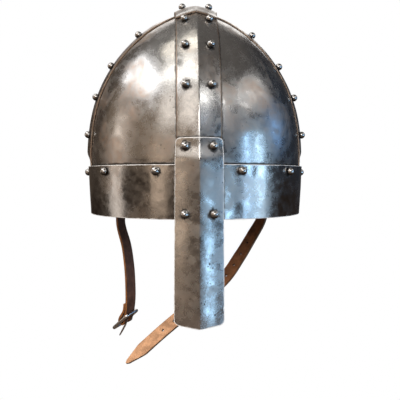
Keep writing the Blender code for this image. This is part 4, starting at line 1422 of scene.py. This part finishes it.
def steel_material(name):
    """Burnished steel with stain, scratches, pits, filed edges, grime, and painted shade along
    covering edges, band edges and rivet feet.
    """
    if name in bpy.data.materials:
        return bpy.data.materials[name]
    tone, rough, stained, scratched, pitted, edge, ridge, dirt_and_shadow = STEEL_FINISHES[name]
    colours = bpy.context.scene.helmet_colours
    material, tree = new_material(name)
    shader = tree.nodes["Principled BSDF"]
    place = put(tree, "TexCoord").outputs["Object"]
    burnish = use_group(tree, "burnish", {"Place": place, "Stain Amount": stained})
    scratch = use_group(tree, "scratch", {"Place": place, "Amount": scratched})
    pit = use_group(tree, "pit", {"Place": place, "Amount": pitted})["Mask"]
    steel = tuple(part * tone for part in colours.steel)
    colour = tint(tree, burnish["Stain"], rgba(steel), rgba(colours.stain))
    colour = tint(tree, 1.0, colour, burnish["Tone"], "MULTIPLY")
    roughness = maths(tree, "ADD", burnish["Polish"], rough)
    roughness = maths(tree, "ADD", roughness, maths(tree, "MULTIPLY", burnish["Stain"], 0.16))
    if name == "nasal_finish":
        for x, z, radius in PIT_SPOTS:
            flat = put(tree, "VectorMath", {0: place, 1: (1.0, 0.0, 1.0)},
                       operation="MULTIPLY").outputs[0]
            apart = put(tree, "VectorMath", {0: flat, 1: (x, 0.0, z)},
                        operation="DISTANCE").outputs["Value"]
            pit = maths(tree, "MAXIMUM", pit, fade(tree, apart, radius, radius * 0.5))
    colour = tint(tree, pit, colour, rgba(colours.grime))
    if dirt_and_shadow:
        # Dirt round the rivets, and painted shadow along the edges of covering sheets
        seam = attribute(tree, "seam") if name != "inner_finish" else 1.0
        grime = use_group(tree, "grime", {"Rivet": attribute(tree, "rivet"), "Seam": seam,
                                          "Place": place})["Mask"]
        grime = maths(tree, "MULTIPLY", grime, 0.82 * dirt_and_shadow)
        colour = tint(tree, grime, colour, rgba(colours.grime))
        roughness = maths(tree, "ADD", roughness, maths(tree, "MULTIPLY", grime, 0.25))
    bright = rgba(tuple(min(1.0, part * 1.35) for part in colours.steel))
    if name == "rivet_finish":
        # Painted shade: the foot of a head and its downward-facing side are darkened to the grime
        # colour
        foot = maths(tree, "MAXIMUM", fade(tree, attribute(tree, "rise"), 0.30, 0.06),
                     fade(tree, attribute(tree, "under"), 0.10, 0.75, 0.0, 0.9))
        colour = tint(tree, foot, colour, rgba(colours.grime))
    if edge:
        rim = use_group(tree, "wear", {"Distance": attribute(tree, "rim"),
                                       "Width": abs(edge), "Place": place})["Mask"]
        # A negative edge width paints shade: the sheet's edges are darkened brown
        rim_colour = bright if edge > 0.0 else rgba(tuple(part * 0.7 for part in colours.stain))
        colour = tint(tree, maths(tree, "MULTIPLY", rim, 0.8), colour, rim_colour)
        roughness = maths(tree, "ADD", roughness, maths(tree, "MULTIPLY", rim, 0.2))
    if ridge:
        parts = put(tree, "SeparateXYZ", {0: place})
        aside = maths(tree, "MINIMUM", maths(tree, "ABSOLUTE", parts.outputs[0]),
                      maths(tree, "ABSOLUTE", parts.outputs[1]))
        crest = use_group(tree, "wear", {"Distance": aside, "Width": ridge,
                                         "Place": place})["Mask"]
        colour = tint(tree, maths(tree, "MULTIPLY", crest, 0.25), colour, bright)
    colour = tint(tree, maths(tree, "MULTIPLY", scratch["Mask"], 0.5), colour, bright)
    height = maths(tree, "SUBTRACT", burnish["Height"], maths(tree, "MULTIPLY", pit, 1.2))
    height = maths(tree, "SUBTRACT", height, maths(tree, "MULTIPLY", scratch["Mask"], 0.5))
    bump = put(tree, "Bump", {"Strength": 0.15, "Distance": 0.00035, "Height": height})
    # A filed edge is scratched so finely that it scatters light like chalk
    metallic = fade(tree, rim, 0.2, 1.0, 1.0, 0.35) if edge > 0.0 else 1.0
    feed(tree, shader, {"Base Color": colour, "Roughness": roughness, "Metallic": metallic,
                        "Normal": bump.outputs["Normal"]})
    return material


LEATHER_FINISHES = {
    # name: (colour property, tone, roughness, grain scale, bump, sheen)
    "grain_side": ("grain", 1.0, 0.48, 900.0, 0.35, 0.0),
    "flesh_side": ("flesh", 1.0, 0.82, 2600.0, 0.14, 0.15),
    "cut_edge": ("cut_edge", 1.0, 0.62, 2200.0, 0.35, 0.0),
    # The long strap's cut edge is its flesh colour darkened as painted shade
    "long_edge": ("flesh", 0.30, 0.66, 2200.0, 0.35, 0.0),
}


def leather_material(name):
    """Dyed grain, raw flesh side or cut edge of a strap."""
    if name in bpy.data.materials:
        return bpy.data.materials[name]
    source, tone, rough, size, strength, sheen = LEATHER_FINISHES[name]
    colours = bpy.context.scene.helmet_colours
    material, tree = new_material(name)
    shader = tree.nodes["Principled BSDF"]
    place = put(tree, "UVMap", uv_map="strap").outputs["UV"]
    if name.endswith("edge"):
        place = put(tree, "TexCoord").outputs["Object"]
    grain = use_group(tree, "grain", {"Place": place, "Size": size})
    base = tuple(part * tone for part in getattr(colours, source))
    colour = tint(tree, 1.0, rgba(base), grain["Tone"], "MULTIPLY")
    if name == "flesh_side":
        # Painted shade with oiled leather: the long strap darkens towards its top end
        run = put(tree, "SeparateXYZ", {0: place}).outputs[1]
        shade_and_oil = fade(tree, run, SHADED_AND_OILED_STRETCH[1], SHADED_AND_OILED_STRETCH[0])
        colour = tint(tree, shade_and_oil, colour, tint(tree, 1.0, colour, (0.60, 0.46, 0.36, 1.0),
                                                "MULTIPLY"))
    if name in ("flesh_side", "grain_side"):
        handled = fade(tree, attribute(tree, "edge"), HANDLED_EDGE[1], HANDLED_EDGE[0])
        colour = tint(tree, maths(tree, "MULTIPLY", handled, 0.35), colour,
                      tint(tree, 1.0, colour, (0.45, 0.34, 0.28, 1.0), "MULTIPLY"))
        punched = fade(tree, attribute(tree, "hole"), HOLE_STAIN[1], HOLE_STAIN[0])
        colour = tint(tree, maths(tree, "MULTIPLY", punched, 0.6), colour,
                      (0.05, 0.025, 0.015, 1.0))
    roughness = maths(tree, "ADD", maths(tree, "MULTIPLY", grain["Height"], 0.05), rough - 0.05)
    bump = put(tree, "Bump", {"Strength": strength, "Distance": 0.0004,
                              "Height": grain["Height"]})
    feed(tree, shader, {"Base Color": colour, "Roughness": roughness, "Sheen Weight": sheen,
                        "Normal": bump.outputs["Normal"]})
    return material


# Soft lights, as a photographer would set them: angles in degrees from the face towards +X
LIGHTS = (
    # name, azimuth, elevation, distance, width, height, radiance, colour
    ("key", -88.0, 45.0, 1.2, 1.05, 0.38, 2.5, (0.98, 0.98, 1.0)),
    ("left_side", -94.0, 4.0, 1.3, 0.38, 0.90, 0.85, (1.0, 0.89, 0.80)),
    ("left_front", -42.0, -2.0, 1.4, 0.48, 0.44, 0.68, (1.0, 0.77, 0.58)),
    ("left_tall", -34.0, 30.0, 1.35, 0.48, 0.66, 0.95, (1.0, 0.94, 0.88)),
    ("left_top", -42.0, 57.0, 1.3, 0.50, 0.38, 2.2, (1.0, 0.97, 0.92)),
    ("left_crown", -88.0, 73.0, 1.3, 0.40, 0.34, 1.9, (1.0, 0.93, 0.82)),
    ("right_side", 56.0, -3.0, 1.3, 0.18, 0.66, 3.2, (0.42, 0.68, 1.0)),
    ("right_streak", 71.5, -3.0, 1.3, 0.20, 0.66, 3.6, (0.50, 0.75, 1.0)),
    ("right_low", 33.0, -15.5, 1.3, 0.22, 0.40, 2.95, (0.42, 0.70, 1.0)),
    ("right_mid", 33.0, 20.0, 1.35, 0.30, 0.30, 0.65, (0.80, 0.88, 1.0)),
    ("right_tall", 33.0, 35.0, 1.35, 0.30, 0.20, 3.4, (1.0, 0.99, 0.97)),
    ("right_top", 76.0, 35.0, 1.3, 0.95, 0.36, 1.15, (1.0, 0.98, 0.96)),
    ("right_back", 98.0, 13.0, 1.3, 0.40, 0.26, 1.5, (0.28, 0.54, 1.0)),
    ("back_fill", 178.0, 32.0, 1.5, 0.90, 0.60, 1.3, (1.0, 0.97, 0.94)),
    ("rivet_spot", -2.0, 20.0, 1.5, 0.56, 0.44, 5.0, (1.0, 0.99, 0.97)),
)
STRAP_FILL = ("strap_fill", -12.0, 22.0, 1.6, 0.9, 0.9, 7.86, (1.0, 0.96, 0.92))
WHITE = (1.0, 1.0, 1.0, 1.0)
ROOM_LEFT = (0.240, 0.180, 0.130, 1.0)
ROOM_RIGHT = (0.022, 0.026, 0.034, 1.0)
ROOM_BEHIND = (0.060, 0.045, 0.034, 1.0)
CEILING_LEFT = (0.210, 0.200, 0.190, 1.0)
CEILING_RIGHT = (0.110, 0.100, 0.092, 1.0)
FLOOR_IN_REFLECTIONS = (0.13, 0.10, 0.08, 1.0)
CAMERA_PLACE = (-0.0178, -0.5997, 0.034)
CAMERA_TURN = -0.0297
CAMERA_LENS = 54.0
CAMERA_SHIFT = (0.0125, -0.056)
FLOOR_HEIGHT = -0.35
FLOOR_SIZE = 12.0


def white_to_camera(tree, seen, lit):
    """A shader that the camera sees as seen, while reflections and light get lit."""
    path = put(tree, "LightPath").outputs["Is Camera Ray"]
    return put(tree, "MixShader", {0: path, 1: lit, 2: seen}).outputs[0]


def make_world():
    world = bpy.data.worlds.new("studio")
    bpy.context.scene.world = world
    world.use_nodes = True
    tree = world.node_tree
    tree.nodes.clear()
    way = put(tree, "SeparateXYZ", {0: put(tree, "TexCoord").outputs["Generated"]})
    sideways = fade(tree, way.outputs[0], -0.5, 0.6)
    room = tint(tree, sideways, ROOM_LEFT, ROOM_RIGHT)
    behind = fade(tree, way.outputs[1], 0.35, 0.70)
    behind_left = maths(tree, "MULTIPLY", behind, maths(tree, "SUBTRACT", 1.0, sideways))
    room = tint(tree, behind_left, room, ROOM_BEHIND)
    overhead = fade(tree, way.outputs[2], 0.45, 0.85)
    ceiling = tint(tree, sideways, CEILING_LEFT, CEILING_RIGHT)
    room = tint(tree, overhead, room, ceiling)
    lit = put(tree, "Background", {"Color": room, "Strength": 1.0}).outputs[0]
    seen = put(tree, "Background", {"Color": WHITE, "Strength": 1.0}).outputs[0]
    put(tree, "OutputWorld", {"Surface": white_to_camera(tree, seen, lit)})


def make_floor():
    shape = bmesh.new()
    bmesh.ops.create_grid(shape, x_segments=1, y_segments=1, size=FLOOR_SIZE / 2.0)
    bmesh.ops.translate(shape, verts=shape.verts, vec=(0.0, 0.0, FLOOR_HEIGHT))
    mesh = bpy.data.meshes.new("pale_floor")
    shape.to_mesh(mesh)
    shape.free()
    floor = bpy.data.objects.new("pale_floor", mesh)
    bpy.context.scene.collection.objects.link(floor)
    material, tree = new_material("pale_floor")
    tree.nodes.clear()
    lit = put(tree, "BsdfDiffuse", {"Color": FLOOR_IN_REFLECTIONS}).outputs[0]
    seen = put(tree, "Emission", {"Color": WHITE, "Strength": 1.0}).outputs[0]
    put(tree, "OutputMaterial", {"Surface": white_to_camera(tree, seen, lit)})
    mesh.materials.append(material)


def make_light(name, azimuth, elevation, distance, width, height, radiance, colour):
    """A rectangular soft light aimed at the helmet's middle."""
    turn = math.radians(azimuth)
    rise = math.radians(elevation)
    way = Vector((math.sin(turn) * math.cos(rise), -math.cos(turn) * math.cos(rise),
                  math.sin(rise)))
    data = bpy.data.lights.new(name, "AREA")
    data.shape = "RECTANGLE"
    data.size = width
    data.size_y = height
    data.energy = radiance * math.pi * width * height
    data.color = colour
    light = bpy.data.objects.new(name, data)
    bpy.context.scene.collection.objects.link(light)
    light.location = Vector((0.0, 0.0, SPRING_HEIGHT)) + way * distance
    light.rotation_euler = (-way).to_track_quat("-Z", "Y").to_euler()
    return light


class HELMET_OT_stage(bpy.types.Operator):
    """Set the pale floor, the soft lights and the camera"""

    bl_idname = "helmet.stage"
    bl_label = "Studio"
    bl_options = {"REGISTER", "UNDO"}

    def execute(self, context):
        make_world()
        make_floor()
        for row in LIGHTS:
            make_light(*row)
        # The fill lights the leather and doesn't show in the steel
        make_light(*STRAP_FILL).visible_glossy = False
        data = bpy.data.cameras.new("photo_view")
        data.lens = CAMERA_LENS
        data.shift_x, data.shift_y = CAMERA_SHIFT
        data.clip_start = 0.01
        camera = bpy.data.objects.new("photo_view", data)
        context.scene.collection.objects.link(camera)
        camera.location = CAMERA_PLACE
        camera.rotation_euler = (math.pi / 2.0, 0.0, CAMERA_TURN)
        context.scene.camera = camera
        context.scene.view_settings.view_transform = "Standard"
        return {"FINISHED"}


OPERATORS = (
    HELMET_OT_stage,
    HELMET_OT_plates,
    HELMET_OT_bands,
    HELMET_OT_brow_band,
    HELMET_OT_nasal,
    HELMET_OT_rivets,
    HELMET_OT_long_strap,
    HELMET_OT_buckle_strap,
    HELMET_OT_buckle,
)


class HELMET_PT_finish(bpy.types.Panel):
    """Lists the helmet's pieces and the sizes and colours of their finish"""

    bl_idname = "HELMET_PT_finish"
    bl_label = "Spangenhelm"
    bl_space_type = "VIEW_3D"
    bl_region_type = "UI"
    bl_category = "Helmet"

    def draw(self, context):
        column = self.layout.column(align=True)
        for operator in OPERATORS:
            column.operator(operator.bl_idname)
        for group in (context.scene.helmet_sizes, context.scene.helmet_colours):
            box = self.layout.box()
            for name in group.__annotations__:
                box.prop(group, name)


CLASSES = (HelmetSizes, HelmetColours, *OPERATORS, HELMET_PT_finish)


def register():
    for item in CLASSES:
        bpy.utils.register_class(item)
    bpy.types.Scene.helmet_sizes = bpy.props.PointerProperty(type=HelmetSizes)
    bpy.types.Scene.helmet_colours = bpy.props.PointerProperty(type=HelmetColours)


def unregister():
    del bpy.types.Scene.helmet_colours
    del bpy.types.Scene.helmet_sizes
    for item in reversed(CLASSES):
        bpy.utils.unregister_class(item)


def main():
    register()
    bpy.ops.helmet.stage()
    bpy.ops.helmet.plates()
    bpy.ops.helmet.bands()
    bpy.ops.helmet.brow_band()
    bpy.ops.helmet.nasal()
    bpy.ops.helmet.rivets()
    bpy.ops.helmet.long_strap()
    bpy.ops.helmet.buckle_strap()
    bpy.ops.helmet.buckle()


if __name__ == "__main__":
    main()
